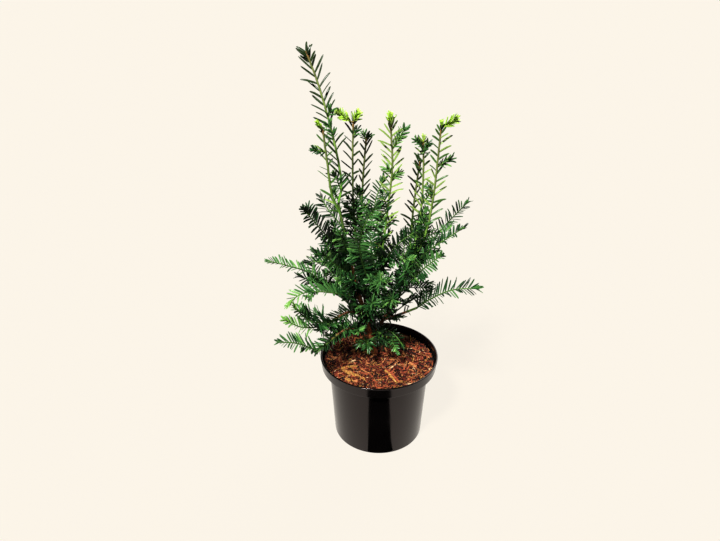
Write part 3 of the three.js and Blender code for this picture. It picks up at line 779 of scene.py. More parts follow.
kinds = {
    # needle length, width and step along the stem; open and recurve are degrees off the stem and
    # droop degrees down; side is how round the ring of needles is, from 0 for two ranks, which
    # are raised and scattered, to 1 for all round; roll turns a needle's face from the shoot's
    # tip to the shoot's own face; crowd is how much closer needles stand over the last tipReach,
    # where they open by tipOpen and are tipLength long; taper shortens them towards the tip;
    # foot and tip are stem radii; fine twigs stand at every fineStep up to the share fineTo
    "leader": {"needle": 20, "width": 2.6, "step": 4.2, "open": 42, "recurve": 15, "droop": -5,
               "side": 0, "raise": 0, "scatter": 1.2, "roll": 50, "crowd": 3.0, "tipReach": 22,
               "tipOpen": 0.85, "tipLength": 0.66, "foot": 2.3, "tip": 1.15,
               "fineStep": 13, "fineTo": 0.25, "fineLength": 22},
    "spray": {"needle": 17.5, "width": 2.4, "step": 1.95, "open": 53, "recurve": 7, "droop": 9,
              "side": 0, "raise": 22, "scatter": 0.65, "roll": 50, "crowd": 0.9, "tipReach": 16,
              "tipOpen": 0.45, "tipLength": 0.62, "taper": 0.22, "foot": 1.15, "tip": 0.65,
              "fineStep": 24, "fineTo": 0.36, "fineLength": 22},
    "fan": {"needle": 17, "width": 2.0, "step": 1.35, "open": 60, "recurve": 12, "droop": 5,
            "side": 1, "roll": 20, "crowd": 1.2, "tipReach": 14, "tipOpen": 0.6,
            "tipLength": 0.75, "foot": 1.2, "tip": 0.8,
            "fineStep": 16, "fineTo": 0.7, "fineLength": 22},
    "plume": {"needle": 24, "width": 2.9, "step": 1.9, "open": 32, "recurve": 10, "droop": 3,
              "side": 0.5, "roll": 40, "crowd": 0.8, "tipReach": 8, "tipOpen": 0.6,
              "tipLength": 0.8, "foot": 1.0, "tip": 0.7},
    "tuft": {"needle": 12.5, "width": 2.0, "step": 1.1, "open": 38, "recurve": 10, "droop": 2,
             "side": 0.6, "roll": 45, "crowd": 1.0, "tipReach": 8, "tipOpen": 0.8,
             "tipLength": 0.85, "foot": 1.0, "tip": 0.7},
    "brush": {"needle": 13.5, "width": 2.1, "step": 0.42, "open": 31, "recurve": 10, "droop": 0,
              "side": 0.7, "roll": 40, "crowd": 0.6, "tipReach": 8, "tipOpen": 0.6,
              "tipLength": 0.9, "foot": 1.1, "tip": 0.7},
    "bud": {"needle": 10.5, "width": 2.1, "step": 0.4, "open": 21, "recurve": 6, "droop": 0,
            "side": 1, "roll": 30, "crowd": 0.4, "tipReach": 4, "tipOpen": 0.5,
            "tipLength": 1, "foot": 1.1, "tip": 0.8},
}


def massRow(name, kind, bearer, at, face, tint, path, **own):
    # a mass of foliage that leaves its bearer at a share of the bearer's length and runs on
    # through the points; own is what sets it apart from its kind
    return {"name": name, "kind": kind, "from": bearer, "at": at, "face": face, "tint": tint,
            "path": path, **own}


# stop is how far a stem ends short of its last point; twigs are (share of the stem, degrees
# round it, length, kind, radians off it); twigTo and fineTo are the shares where its side twigs
# and its fine twigs end, and fineSide turns the fine ones to one side; size, spread and apart
# multiply the needles' length, opening and step; thin is the share of a leader's needles missing
# on its lower half, and shorter is a side and what that side's needles are cut to; freshFrom is
# where the needles turn fresh, and tufts is the tint of a leader's tufts
masses = [
    # upright leaders
    massRow("tall_leader", "leader", "trunk", 1, front, "dark",
            [(-51, -8, 388), (-57, -4, 434), (-76, 4, 508), (-90, 6, 548)], stop=0, size=1.08,
            spread=0.92, crowd=3, roll=64, thin=0.35, fineTo=0.1,
            twigs=[(0.58, 20, 8, "tuft"), (0.43, 75, 9, "tuft", 0.45), (0.49, 110, 9, "tuft", 0.4)]),
    massRow("left_leader", "leader", "trunk", 0.94, front, "mid",
            [(-62, -18, 379), (-67, -26, 426), (-72, -34, 478)], stop=11, size=0.86, apart=1.4,
            crowd=0.8, roll=18, thin=0.25, shorter=(1, 0.75), fineTo=0,
            twigs=[(0.755, 168, 15, "tuft", 1.2), (0.99, 168, 8, "bud", 0.5)]),
    massRow("back_left_leader", "leader", "back_bough", 1, front, "dark",
            [(-36, 30, 335), (-37, 26, 412), (-36, 22, 463)], stop=0, apart=1.4, crowd=0.8, thin=0.25,
            shorter=(1, 0.62), fineTo=0.42,
            twigs=[(0.35, 175, 18, "spray", 0.5), (0.42, 185, 14, "spray", 0.5),
                   (0.9, 8, 9, "tuft", 0.5), (0.99, 172, 20, "brush", 1.0),
                   (0.99, 8, 10, "brush", 0.45)]),
    massRow("back_leader", "leader", "back_bough", 0.6, front, "dark",
            [(-26, 44, 292), (-24, 46, 372), (-19, 48, 442)], stop=3, spread=0.8, apart=1.3, crowd=1.2,
            thin=0.25, shorter=(-1, 0.62), fineTo=0.46,
            twigs=[(0.5, 0, 10, "tuft"), (0.62, 180, 10, "tuft"), (0.97, 5, 5, "tuft", 0.5),
                   (0.97, 175, 7, "tuft", 0.6)]),
    massRow("front_leader", "leader", "centre_bough", 1, front, "bright",
            [(8, -8, 360), (12, -14, 418), (7, -20, 484)], stop=12, crowd=1.5, roll=38, tufts="bright",
            fineTo=0.42, fineSide=180,
            twigs=[(0.66, 170, 10, "tuft"), (0.625, 10, 12, "tuft"), (0.3, 0, 11, "spray", 0.7),
                   (0.83, 18, 29, "tuft", 0.62), (0.99, 60, 7, "bud", 0.15)]),
    massRow("right_leader", "leader", "right_bough", 1, front, "mid",
            [(52, 13, 341), (53, 10, 398), (50, 4, 452)], stop=9, size=0.92, apart=1.2, crowd=2.5,
            thin=0.3, shorter=(1, 0.7), fineTo=0.5, fineSide=0,
            twigs=[(0.93, 10, 10, "tuft", 0.6), (0.96, 170, 12, "tuft", 0.8), (0.9, 90, 9, "tuft"),
                   (0.99, 90, 3, "bud", 0.1)]),
    massRow("right_back_leader", "leader", "right_bough", 0.94, front, "dark",
            [(42, 30, 300), (44, 30, 343), (50, 24, 420)], size=0.85, apart=1.25, thin=0.3,
            shorter=(1, 0.6), fineTo=0.4, fineSide=0),
    massRow("outer_right_leader", "leader", "right_bough", 0.89, front, "mid",
            [(59, 1, 321), (65, -6, 370), (69, -16, 468)], stop=2, apart=1.15, crowd=1.5, roll=60,
            thin=0.2, shorter=(-1, 0.75), fineTo=0.34, fineSide=180,
            twigs=[(0.3, 5, 18, "spray", 0.9), (0.6, 170, 10, "tuft"), (0.77, 10, 18, "tuft", 1.05),
                   (0.99, 8, 16, "brush", 0.95), (0.99, 90, 3, "bud", 0.1)]),

    # left side
    massRow("upper_left_spray", "spray", "trunk", 0.71, tilted, "dark",
            [(-63, -32, 323), (-79, -52, 354), (-95, -66, 382)], stop=0, size=1.08, spread=0.92,
            twigTo=0.5, twigs=[(0.3, 5, 16, "spray", 0.7), (0.88, 5, 9, "tuft", 0.6)]),
    massRow("rising_back_left_spray", "spray", "trunk", 0.87, tilted, "dark",
            [(-67, 10, 347), (-83, 24, 369)], stop=6),
    massRow("left_inner_spray", "spray", "trunk", 0.64, front, "mid",
            [(-47, -30, 318), (-55, -47, 350)]),
    massRow("mid_left_spray", "spray", "trunk", 0.58, tilted, "mid",
            [(-61, -32, 292), (-80, -48, 322)]),
    massRow("left_spray", "spray", "trunk", 0.62, tilted, "dark", [(-67, -18, 291), (-98, -34, 318)],
            stop=19),
    massRow("level_left_spray", "spray", "trunk", 0.55, level, "dark", [(-74, 4, 276), (-112, 4, 274)]),
    massRow("far_left_spray", "spray", "left_bough", 1, level, "mid",
            [(-92, -24, 274), (-120, -28, 287), (-150, -30, 296)], stop=4, size=0.92, twigTo=0.3),
    massRow("under_left_spray", "spray", "left_bough", 0.6, leaning, "dark",
            [(-88, -4, 250), (-113, -4, 260)], stop=3, size=1.12),
    massRow("front_left_spray", "spray", "trunk", 0.37, leaning, "fresh",
            [(-56, -40, 252), (-101, -66, 267), (-123, -74, 250)], size=1.12, spread=0.9,
            freshFrom=0.93, twigs=[(0.7, 180, 20, "spray", 0.6)]),
    massRow("low_left_spray", "spray", "low_left_bough", 1, leaning, "mid",
            [(-107, -40, 201), (-134, -50, 223)], size=0.95, spread=0.9, freshFrom=0.86, twigTo=0.3),
    massRow("rising_left_spray", "spray", "low_left_bough", 0.86, leaning, "fresh",
            [(-94, -44, 213), (-118, -56, 248)], size=1.1, freshFrom=0.88, twigTo=0.3,
            twigs=[(0.12, 0, 16, "plume", 1.6), (0.28, 0, 18, "plume", 1.3),
                   (0.45, 0, 16, "plume", 0.95)]),
    massRow("lowest_left_spray", "spray", "lowest_left_bough", 1, leaning, "mid",
            [(-111, -70, 195), (-140, -84, 206)], size=1.1, spread=0.85, twigTo=0.3, fineTo=0),
    massRow("rim_spray", "spray", "lowest_left_bough", 0.45, leaning, "mid",
            [(-72, -20, 188), (-96, -28, 180)]),

    # front
    massRow("front_fan", "fan", "trunk", 0.28, up, "mid", [(-14, -30, 225), (-11, -62, 253)]),
    massRow("upper_front_fan", "fan", "centre_bough", 0.62, up, "mid",
            [(-2, -30, 262), (-1, -58, 284)]),
    massRow("left_front_fan", "fan", "trunk", 0.48, up, "dark", [(-34, -28, 258), (-40, -54, 283)]),
    massRow("right_front_fan", "fan", "centre_bough", 0.3, up, "mid", [(10, -20, 228), (17, -46, 250)]),
    massRow("low_front_fan", "fan", "trunk", 0.12, up, "mid", [(-15, -10, 160), (-19, -36, 163)]),
    massRow("drooping_front_spray", "spray", "right_bough", 0.14, tilted, "dark",
            [(18, -8, 171), (39, -24, 150)], size=0.7),
    massRow("low_right_fan", "fan", "trunk", 0.165, up, "dark", [(2, -14, 174), (9, -36, 164)]),
    massRow("front_left_leader", "spray", "centre_bough", 0.48, front, "fresh",
            [(-28, -36, 316), (-20, -50, 358), (-1, -54, 389)]),
    massRow("centre_leader", "spray", "centre_bough", 0.7, front, "dark",
            [(-13, 12, 303), (-7, 20, 359), (7, 24, 398)]),

    # right side
    massRow("far_right_spray", "spray", "low_right_bough", 1, leaning, "dark",
            [(68, -6, 224), (99, -14, 244), (139, -20, 249)], size=1.2, twigTo=0.3, fineTo=0.12,
            twigs=[(0.03, 180, 20, "spray", 1.1), (0.16, 180, 18, "spray", 0.9)]),
    massRow("right_mid_spray", "spray", "right_bough", 0.6, leaning, "dark",
            [(52, 18, 236), (86, 22, 232)], stop=14, twigs=[(0.35, 0, 16, "spray", 0.9)]),
    massRow("right_fan", "fan", "right_bough", 0.5, up, "dark", [(30, -24, 262), (31, -56, 300)]),
    massRow("right_front_spray", "spray", "right_bough", 0.67, tilted, "mid",
            [(53, -14, 272), (83, -34, 311)], size=1.1, twigTo=0.2),
    massRow("upper_right_front_spray", "spray", "right_bough", 0.81, leaning, "mid",
            [(60, -2, 293), (84, -14, 319), (111, -26, 346)], size=0.85),
    massRow("upper_right_spray", "spray", "right_bough", 0.76, leaning, "mid",
            [(66, 24, 290), (91, 40, 317), (126, 52, 351)], twigTo=0.1,
            twigs=[(0.3, 180, 20, "spray", 0.7)]),
    massRow("inner_right_spray", "spray", "centre_bough", 0.86, tilted, "dark",
            [(19, -26, 315), (51, -48, 352)], twigTo=0.5),

    # back
    massRow("low_back_spray", "spray", "trunk", 0.16, backward, "dark",
            [(-12, 60, 185), (-10, 100, 190)]),
    massRow("low_back_left_spray", "spray", "trunk", 0.22, backward, "mid",
            [(-55, 50, 195), (-95, 75, 200)]),
    massRow("low_back_right_spray", "spray", "right_bough", 0.24, backward, "dark",
            [(45, 50, 188), (78, 78, 190)], stop=26),
    massRow("back_left_spray", "spray", "back_left_bough", 1, backward, "mid",
            [(-80, 56, 250), (-104, 66, 272)]),
    massRow("rising_left_back_spray", "spray", "back_left_bough", 0.7, backward, "dark",
            [(-56, 62, 262), (-66, 84, 292)]),
    massRow("back_spray", "spray", "back_bough", 0.35, backward, "mid",
            [(-22, 70, 235), (-24, 106, 255)]),
    massRow("back_right_spray", "spray", "back_right_bough", 1, backward, "mid",
            [(66, 64, 250), (94, 76, 264)]),
    massRow("rising_right_back_spray", "spray", "back_right_bough", 0.7, backward, "dark",
            [(36, 66, 262), (40, 88, 296)]),
    massRow("upper_back_spray", "spray", "back_bough", 0.9, backward, "dark",
            [(-34, 66, 300), (-36, 92, 336)]),
]

gaps = [
    # open spaces that run from front to back through the crown: a point on each axis, the
    # axis's direction and its radius
    ((-66, 0, 214), (-0.04, 0.86, -0.5), 14),
    ((-83, 0, 224), (-0.066, 0.87, -0.49), 6),
    ((31, 0, 206), (0.068, 0.861, -0.512), 7),
    ((35, 0, 228), (0.073, 0.872, -0.491), 7),
    ((45, 0, 240), (0.086, 0.878, -0.48), 5),
    ((-90, 0, 162), (-0.07, 0.84, -0.55), 7),
    ((-48, 0, 212), (-0.024, 0.864, -0.506), 5),
    ((-39, 0, 187), (-0.013, 0.853, -0.527), 5),
    ((-27, 5, 217), (0.0, 0.868, -0.499), 7),
    ((-13, 8, 157), (0.016, 0.842, -0.549), 7),
]

growth = {
    "tipNeedles": 9,       # the usual stop of a stem
    "thin": 0.12,          # the usual thin of a leader
    "twigStep": 50,        # between the side twigs of a spray
    "twigLength": 46,
    "twigOpen": 0.8,       # radians off the stem
    "leaderTwigOpen": 0.5,
    "twigLift": 0.08,      # how far a twig's tip bends along its bearer, as a share of its length
    "twigSteps": 40,
    "twigRadius": 0.8,     # a twig's share of its bearer's radius, and of its own kind's tip
    "twigNeedles": 0.85,   # its needles' share of its kind's length
    "brushBare": 0.2,      # share of a brush's stem without needles
    "fewest": 1 / 3,       # a twig that keeps a smaller share of its needles goes
    "bareTip": 0.03,       # how far a stem runs on past its last needle
    "boughStep": 11,       # between the short shoots that stand straight on the bark
    "boughShoot": 28,
    "boughOpen": 0.9,
    "leafyFrom": 0.1,
    "foot": 1.1,           # radii of such a shoot
    "tip": 0.6,
    "shoots": 0.9,         # its needles' share of their kind's length
    "slack": 11,           # how far a needle may reach into a neighbour's space
    "limbGap": 1.0,        # bare space round the bark
    "rimGap": 3,
    "stemPoints": 24,      # points of each stem that stand for it when distances are taken
    "batch": 4000,         # needles whose distances are taken at once, to save memory
}


def stemLine(mass):
    # the mass's curve, stopped short of its last point
    whole = lineOf(mass, limbLines)
    stop = 1 - mass.get("stop", growth["tipNeedles"]) / lengthOf(whole)
    return evenly(pointAt(whole, np.linspace(0, stop, len(whole))), len(whole))


massLines = [stemLine(mass) for mass in masses]
stemPoints = np.vstack([pointAt(line, np.linspace(0, 1, growth["stemPoints"])) for line in massLines])
stemOwner = np.repeat(np.arange(len(masses)), growth["stemPoints"])
barkPoints = np.vstack(list(limbLines.values()))
barkRadius = np.concatenate(list(limbRadii.values()))


def nearestOwner(points):
    # the mass whose stem is nearest to each point
    return stemOwner[np.linalg.norm(points[:, None] - stemPoints[None], axis=2).argmin(axis=1)]


def hasRoom(points, owner, close):
    # true where a point is off the bark, above the mulch and the rim, out of the gaps, and not
    # more than the slack nearer to another mass's stem than to its own; `close` is how much of a
    # gap's radius each point keeps to
    reach = np.hypot(points[:, 0], points[:, 1])
    ground = np.where(reach > pot["bodyTop"], pot["height"], mulch["top"]) + growth["rimGap"]
    free = (points[:, 2] > ground) | (reach > pot["rim"] + growth["rimGap"])
    for place, axis, radius in gaps:
        free &= np.linalg.norm(np.cross(points - place, unit(np.array(axis))), axis=1) > radius * close
    for begin in range(0, len(points), growth["batch"]):
        part = slice(begin, begin + growth["batch"])
        toStems = np.linalg.norm(points[part, None] - stemPoints[None], axis=2)
        ownStem = owner[part, None] == stemOwner[None]
        own = np.where(ownStem, toStems, np.inf).min(axis=1)
        other = np.where(ownStem, np.inf, toStems).min(axis=1)
        toBark = (np.linalg.norm(points[part, None] - barkPoints[None], axis=2) - barkRadius).min(axis=1)
        free[part] &= (own < other + growth["slack"]) & (toBark > growth["limbGap"])
    return free


def fittedLength(root, direction, length, owner, cuts, close=1.0):
    # the longest of a few cuts of the length whose whole run has room, or 0
    best = np.zeros(len(root))
    for cut in sorted(cuts):
        clear = np.ones(len(root), bool)
        for part in (0.4, 0.7, 1.0):
            clear &= hasRoom(root + direction * (part * cut * length)[:, None], owner, close)
        best = np.where(clear, cut * length, best)
    return best


def fittedTwig(root, direction, size, owner, cuts):
    # the same for one twig
    return fittedLength(root, direction, np.array([size]), np.array([owner]), cuts)[0]


def twigRules(mass, line):
    # side twigs at even steps, then finer ones between them on alternate sides, each a little off
    # its even place and shorter towards the tip: share, degrees round the stem, length, kind and
    # radians off the stem
    kind = kinds[mass["kind"]]
    length = lengthOf(line)
    usual = (mass["kind"], growth["twigOpen"])
    rules = [twig + usual[len(twig) - 3:] for twig in mass.get("twigs", [])]
    seed = mass["seed"] + 2
    if mass["kind"] == "spray":
        count = int(length / growth["twigStep"])
        for i in range(count):
            share = (i + 0.7) / (count + 0.7)
            if share > mass.get("twigTo", 1):
                continue
            turn = 180 * (i % 2) + 30 * (chance(seed, i) - 0.5)
            size = growth["twigLength"] * (1 - 0.5 * share)
            rules.append((share, turn, size, "spray", growth["twigOpen"]))
    if "fineStep" in kind:
        fineTo = mass.get("fineTo", kind["fineTo"])
        count = int(length * fineTo / kind["fineStep"])
        for i in range(count):
            share = 0.05 + fineTo * (i + chance(seed, i + 40) * 0.6) / max(count, 1)
            turn = mass.get("fineSide", 180 * ((i + 1) % 2)) + 90 * (chance(seed, i + 20) - 0.5)
            size = kind["fineLength"] * (1.15 - 0.6 * share) * (0.75 + 0.4 * chance(seed, i + 60))
            kindName = "fan" if mass["kind"] == "fan" else "spray"
            opening = growth["leaderTwigOpen"] if mass["kind"] == "leader" else growth["twigOpen"]
            rules.append((share, turn, size, kindName, opening))
    return rules


def twigTint(mass, kindName):
    # brushes and buds are new growth, and tufts on a leader are green whatever its own tint
    if kindName in ("brush", "bud"):
        return "new"
    if mass["kind"] == "leader":
        return mass.get("tufts", "mid") if kindName == "tuft" else "dark"
    return mass["tint"]


def twigLine(root, direction, along, size):
    # a quadratic curve along the direction whose tip is lifted a little along its bearer
    bend = root + direction * size * 0.5
    tip = root + direction * size + along * size * growth["twigLift"]
    t = np.linspace(0, 1, 25)[:, None]
    return evenly((1 - t)**2 * root + 2 * t * (1 - t) * bend + t**2 * tip, growth["twigSteps"] + 1)


def newShoot(line, kindName, owner, seed, tint, foot, tip, **own):
    # a stem, the mass it belongs to, its radii, and how its needles differ from its kind's; they
    # start at the share bareTo
    return {"line": line, "kind": kindName, "owner": owner, "seed": seed, "tint": tint,
            "foot": foot, "tip": tip, "face": masses[owner]["face"], "length": 1,
            "roll": kinds[kindName]["roll"], "freshFrom": 2, "bareTo": 0, **own}


def massShoots(number, mass, line):
    # the mass's own stem first, a little thinner than its bearer there, and then its twigs
    kind = kinds[mass["kind"]]
    foot = min(kind["foot"], radiusAt(mass["from"], mass["at"]) * 0.95)
    size = mass.get("size", 1)
    own = {key: mass[key] for key in ("freshFrom", "roll", "apart", "thin", "shorter", "crowd", "spread")
           if key in mass}
    shoots = [newShoot(line, mass["kind"], number, mass["seed"], mass["tint"], foot, kind["tip"],
                       length=size, main=True, **own)]
    for share, degrees, wanted, kindName, opening in twigRules(mass, line):
        lineFrame = frameAt(line, np.array([share]), mass["face"])
        direction = directionAt(lineFrame, [opening], np.radians([degrees]))
        root = pointAt(line, np.array([share]))
        if kindName in ("spray", "fan"):
            wanted = fittedTwig(root, direction, wanted, number, [1, 0.8, 0.6])
        if wanted == 0:
            continue
        radius = foot + (kind["tip"] - foot) * share
        shoots.append(newShoot(
            twigLine(root, direction, lineFrame[0], wanted), kindName, number, mass["seed"] + share,
            twigTint(mass, kindName), radius * growth["twigRadius"],
            kinds[kindName]["tip"] * growth["twigRadius"], length=growth["twigNeedles"] * size,
            freshFrom=0.5 if share > mass.get("freshFrom", 2) * 0.85 else 2,
            bareTo=growth["brushBare"] if kindName == "brush" else 0))
    return shoots


def boughShoots(number, limb, line):
    # short leafy shoots straight from the bark on turns of the golden angle; each belongs to
    # the mass whose stem is nearest
    shoots = []
    start = limb.get("leafyFrom", growth["leafyFrom"])
    leafy = limb.get("leafyTo", 1) - start
    count = int(lengthOf(line) * leafy / growth["boughStep"])
    seed = 900 + number * 31
    for i in range(count):
        share = np.array([start + leafy * (i + 0.5) / count])
        lineFrame = frameAt(line, share, tilted)
        direction = directionAt(lineFrame, [growth["boughOpen"]], [i * goldenAngle + number])
        root = pointAt(line, share)
        size = growth["boughShoot"] * (0.7 + 0.6 * chance(seed, i))
        owner = nearestOwner(root + direction * size * 0.6)[0]
        bark = root + direction * (radiusAt(limb["name"], share[0]) + 1.2)
        size = fittedTwig(bark, direction, size, owner, [1, 0.75, 0.5])
        if size:
            shoots.append(newShoot(twigLine(root, direction, lineFrame[0], size), "spray", owner,
                                   seed + i, "dark", growth["foot"], growth["tip"],
                                   length=growth["shoots"]))
    return shoots


def boughNeedles(number, limb, line):
    # needles straight on a bough's bark, in one or more coats that face different ways
    owner = nearestOwner(pointAt(line, [0.8]))[0]
    return [newShoot(line, kindName, owner, 400 + number + 30 * coat, "mid", limb["foot"],
                     barkRelief["tip"], face=(leaning, front, tilted)[coat % 3],
                     length=limb.get("cladSize", 0.85), roll=30, bareTo=0.12, woody=True)
            for coat, kindName in enumerate(limb.get("clad", ["fan"]))]


def growShoots():
    # every stem that bears needles: the masses' and then the boughs'
    shoots = []
    for number, (mass, line) in enumerate(zip(masses, massLines)):
        mass["seed"] = number * 17 + 5
        shoots += massShoots(number, mass, line)
    for number, limb in enumerate(limbs):
        line = limbLines[limb["name"]]
        shoots += boughShoots(number, limb, line)
        if "from" in limb:
            shoots += boughNeedles(number, limb, line)
    return shoots


variety = {
    # a needle's measure is its kind's times the first number plus the second times a chance
    "length": (0.8, 0.3),
    "recurve": (-0.2, 2.4),
    "droop": (0.4, 1.2),
    "width": (0.86, 0.24),
    "close": (0.75, 0.35),
    "open": 20,            # whole spread in degrees
    "roll": 70,
}


def varied(key, seed, i):
    # first number + second x chance
    least, more = variety[key]
    return least + more * chance(seed, i)


def needleShares(shoot, kind):
    # where needles stand along the stem, in steps that close up over the last tipReach, and how
    # near the tip each is, from 0 to 1
    run = lengthOf(shoot["line"])
    tipFrom = 1 - min(kind["tipReach"] / run, 0.5)
    grid = np.linspace(0, 1, 201)
    crowd = shoot.get("crowd", kind["crowd"])
    crowding = np.cumsum(1 + crowd * smoothStep(tipFrom, 1, grid))
    crowding = (crowding - crowding[0]) / (crowding[-1] - crowding[0])
    step = kind["step"] * shoot.get("apart", 1)
    count = max(int(run * (1 + 0.5 * crowd * (1 - tipFrom)) / step), 4)
    share = np.interp(np.arange(1, count + 1) / (count + 0.2), crowding, grid)
    return share, smoothStep(tipFrom, 0.97, share)


def needleTurns(kind, seed, i, tipward):
    # angles round the stem: two raised ranks that scatter near the tip, or turns of the golden
    # angle pressed towards the two sides
    if kind["side"] == 0:
        raised = math.radians(kind["raise"])
        turn = np.where(i % 2 == 0, raised, math.pi - raised)
        return turn + (chance(seed, i) - 0.5) * (kind["scatter"] + 1.8 * tipward)
    spiral = i * goldenAngle + (chance(seed, i) - 0.5) * 0.6
    return np.arctan2(np.sin(spiral) * kind["side"], np.cos(spiral))


def needleLengths(shoot, kind, i, share, tipward, turn):
    # the kind's length, varied by chance, less towards the tip and at the foot; 0 leaves one out
    seed = shoot["seed"]
    length = kind["needle"] * shoot["length"] * varied("length", seed + 1, i)
    length = length * (1 - kind.get("taper", 0) * smoothStep(0.4, 1, share))
    length = length * (1 - (1 - kind["tipLength"]) * tipward) * (0.75 + 0.25 * smoothStep(0, 0.12, share))
    if shoot["kind"] == "leader":
        thin = shoot.get("thin", growth["thin"]) * (1 - smoothStep(0.4, 0.6, share))
        shortSide, shortBy = shoot.get("shorter", (1, 1))
        length = length * (chance(seed + 9, i) > thin) * np.where(np.cos(turn) * shortSide > 0, shortBy, 1)
    return length * (share > shoot["bareTo"])


def needlesOn(number, shoot):
    # one row of values for each needle of a shoot; a needle on bark skips its underside
    kind = kinds[shoot["kind"]]
    seed = shoot["seed"]
    share, tipward = needleShares(shoot, kind)
    i = np.arange(1, len(share) + 1)
    turn = needleTurns(kind, seed, i, tipward)
    opening = np.radians(kind["open"] + variety["open"] * (chance(seed + 3, i) - 0.5))
    opening = opening * (1 - (1 - kind["tipOpen"]) * tipward) * shoot.get("spread", 1)
    lineFrame = frameAt(shoot["line"], share, shoot["face"])
    aside = asideAt(lineFrame, turn)
    root = pointAt(shoot["line"], share)
    length = needleLengths(shoot, kind, i, share, tipward, turn)
    owner = np.full(len(i), shoot["owner"])
    if "woody" in shoot:
        length = length * (aside[:, 2] > -0.3)
        owner = nearestOwner(root + aside * 6)
    return {
        "shoot": np.full(len(i), number), "owner": owner, "root": root, "along": lineFrame[0],
        "aside": aside, "out": lineFrame[2], "start": directionAt(lineFrame, opening, turn),
        "opening": opening, "length": length, "share": share,
        "close": varied("close", seed + 10, i) * (0.6 if "woody" in shoot else 1),
        "recurve": np.radians(kind["recurve"] * varied("recurve", seed + 4, i)),
        "droop": np.radians(kind["droop"] * varied("droop", seed + 5, i)),
        "roll": np.radians(shoot["roll"] + variety["roll"] * (chance(seed + 6, i) - 0.5)),
        "width": kind["width"] * varied("width", seed + 7, i),
        "sunk": 0.4 * (shoot["foot"] + (shoot["tip"] - shoot["foot"]) * share),
        "tint": np.full(len(i), tintNames.index(shoot["tint"])),
        "lively": np.full(len(i), shoot["kind"] == "spray"),
        "upright": np.full(len(i), shoot["kind"] == "leader"),
        "freshFrom": np.full(len(i), shoot["freshFrom"]),
        "pick": chance(seed + 8, i), "sprayPick": np.full(len(i), chance(seed, 91)),
    }


needleTints = {
    # upper face, underside
    "deep": ("#112810", "#263C22"),
    "dark": ("#234722", "#3A5A34"),
    "mid": ("#416B36", "#547A4B"),
    "bright": ("#66924A", "#7A9E60"),
    "fresh": ("#6A9645", "#86AA60"),
    "new": ("#A8CC50", "#BED876"),
    "olive": ("#26381A", "#344A24"),
    "midOlive": ("#3E6028", "#527038"),
    "paleOlive": ("#7C964A", "#9CB06C"),
}
tintNames = list(needleTints)


dealing = {
    # sprays and needles whose pick, from 0 to 1, is below the first number go a tint darker and
    # those above the second a tint lighter
    "sprays": (0.33, 0.7),
    "needles": (0.2, 0.86),
    "tip": 0.9,            # from here on half the dark needles go a tint lighter
    "freshEdge": 0.2,      # bright needles stand this far before the fresh ones
    "newFoot": 0.2,
    "paleLeaders": 0.7,    # pick above which a leader's mid needles are pale
}


def dealTints(needles):
    # a whole spray keeps its mass's tint or the next darker or lighter one, and so do single
    # needles of it; the young ends of a few sprays are fresh, and leaders are olive
    names = {name: number for number, name in enumerate(tintNames)}
    given, share, pick, sprayPick = [needles[key] for key in ("tint", "share", "pick", "sprayPick")]
    plain = given < names["fresh"]
    tint = np.where(given == names["fresh"], np.where(share < 0.5, names["dark"], names["mid"]), given)
    tint = np.where(plain & (sprayPick < dealing["sprays"][0]), tint - 1, tint)
    lightens = (tint < names["mid"]) | needles["lively"]
    tint = np.where(plain & (sprayPick > dealing["sprays"][1]) & lightens, tint + 1, tint)
    tint = np.where(plain & (pick < dealing["needles"][0]), tint - 1, tint)
    tint = np.where(plain & (pick > dealing["needles"][1]), tint + 1, tint)
    atTip = (tint < names["mid"]) & (share > dealing["tip"]) & (pick > 0.5)
    tint = np.where(plain & atTip, tint + 1, tint)
    tint = np.where(plain, np.minimum(tint, names["bright"]), tint)
    tint = np.where(share > needles["freshFrom"] - dealing["freshEdge"] * pick, names["bright"], tint)
    tint = np.where(share > needles["freshFrom"], names["fresh"], tint)
    new = given == names["new"]
    tint = np.where(new & (share + 0.5 * pick < dealing["newFoot"]), names["fresh"], tint)
    tint = np.clip(tint, 0, names["new"])
    upright = needles["upright"] & ~new
    tint = np.where(upright, np.where(given == names["mid"], names["midOlive"], names["olive"]), tint)
    lit = (given == names["bright"]) | ((given == names["mid"]) & (pick > dealing["paleLeaders"]))
    lit |= share > needles["freshFrom"]
    return np.where(upright & lit, names["paleOlive"], tint)


needleShape = {
    "shares": np.array([0, 0.07, 0.24, 0.62, 0.9, 1.0]),      # stations along the needle
    "widths": np.array([0.4, 0.78, 1.0, 1.0, 0.74, 0.08]),
    "midrib": 0.22,        # height of the upper face's ridge in widths
    "keel": 0.06,
}


def turnAbout(vectors, axis, cosine, sine):
    # Rodrigues: v cos + (axis x v) sin + axis (axis . v) (1 - cos)
    dot = (axis * vectors).sum(axis=-1, keepdims=True)
    return vectors * cosine + np.cross(axis, vectors) * sine + axis * dot * (1 - cosine)


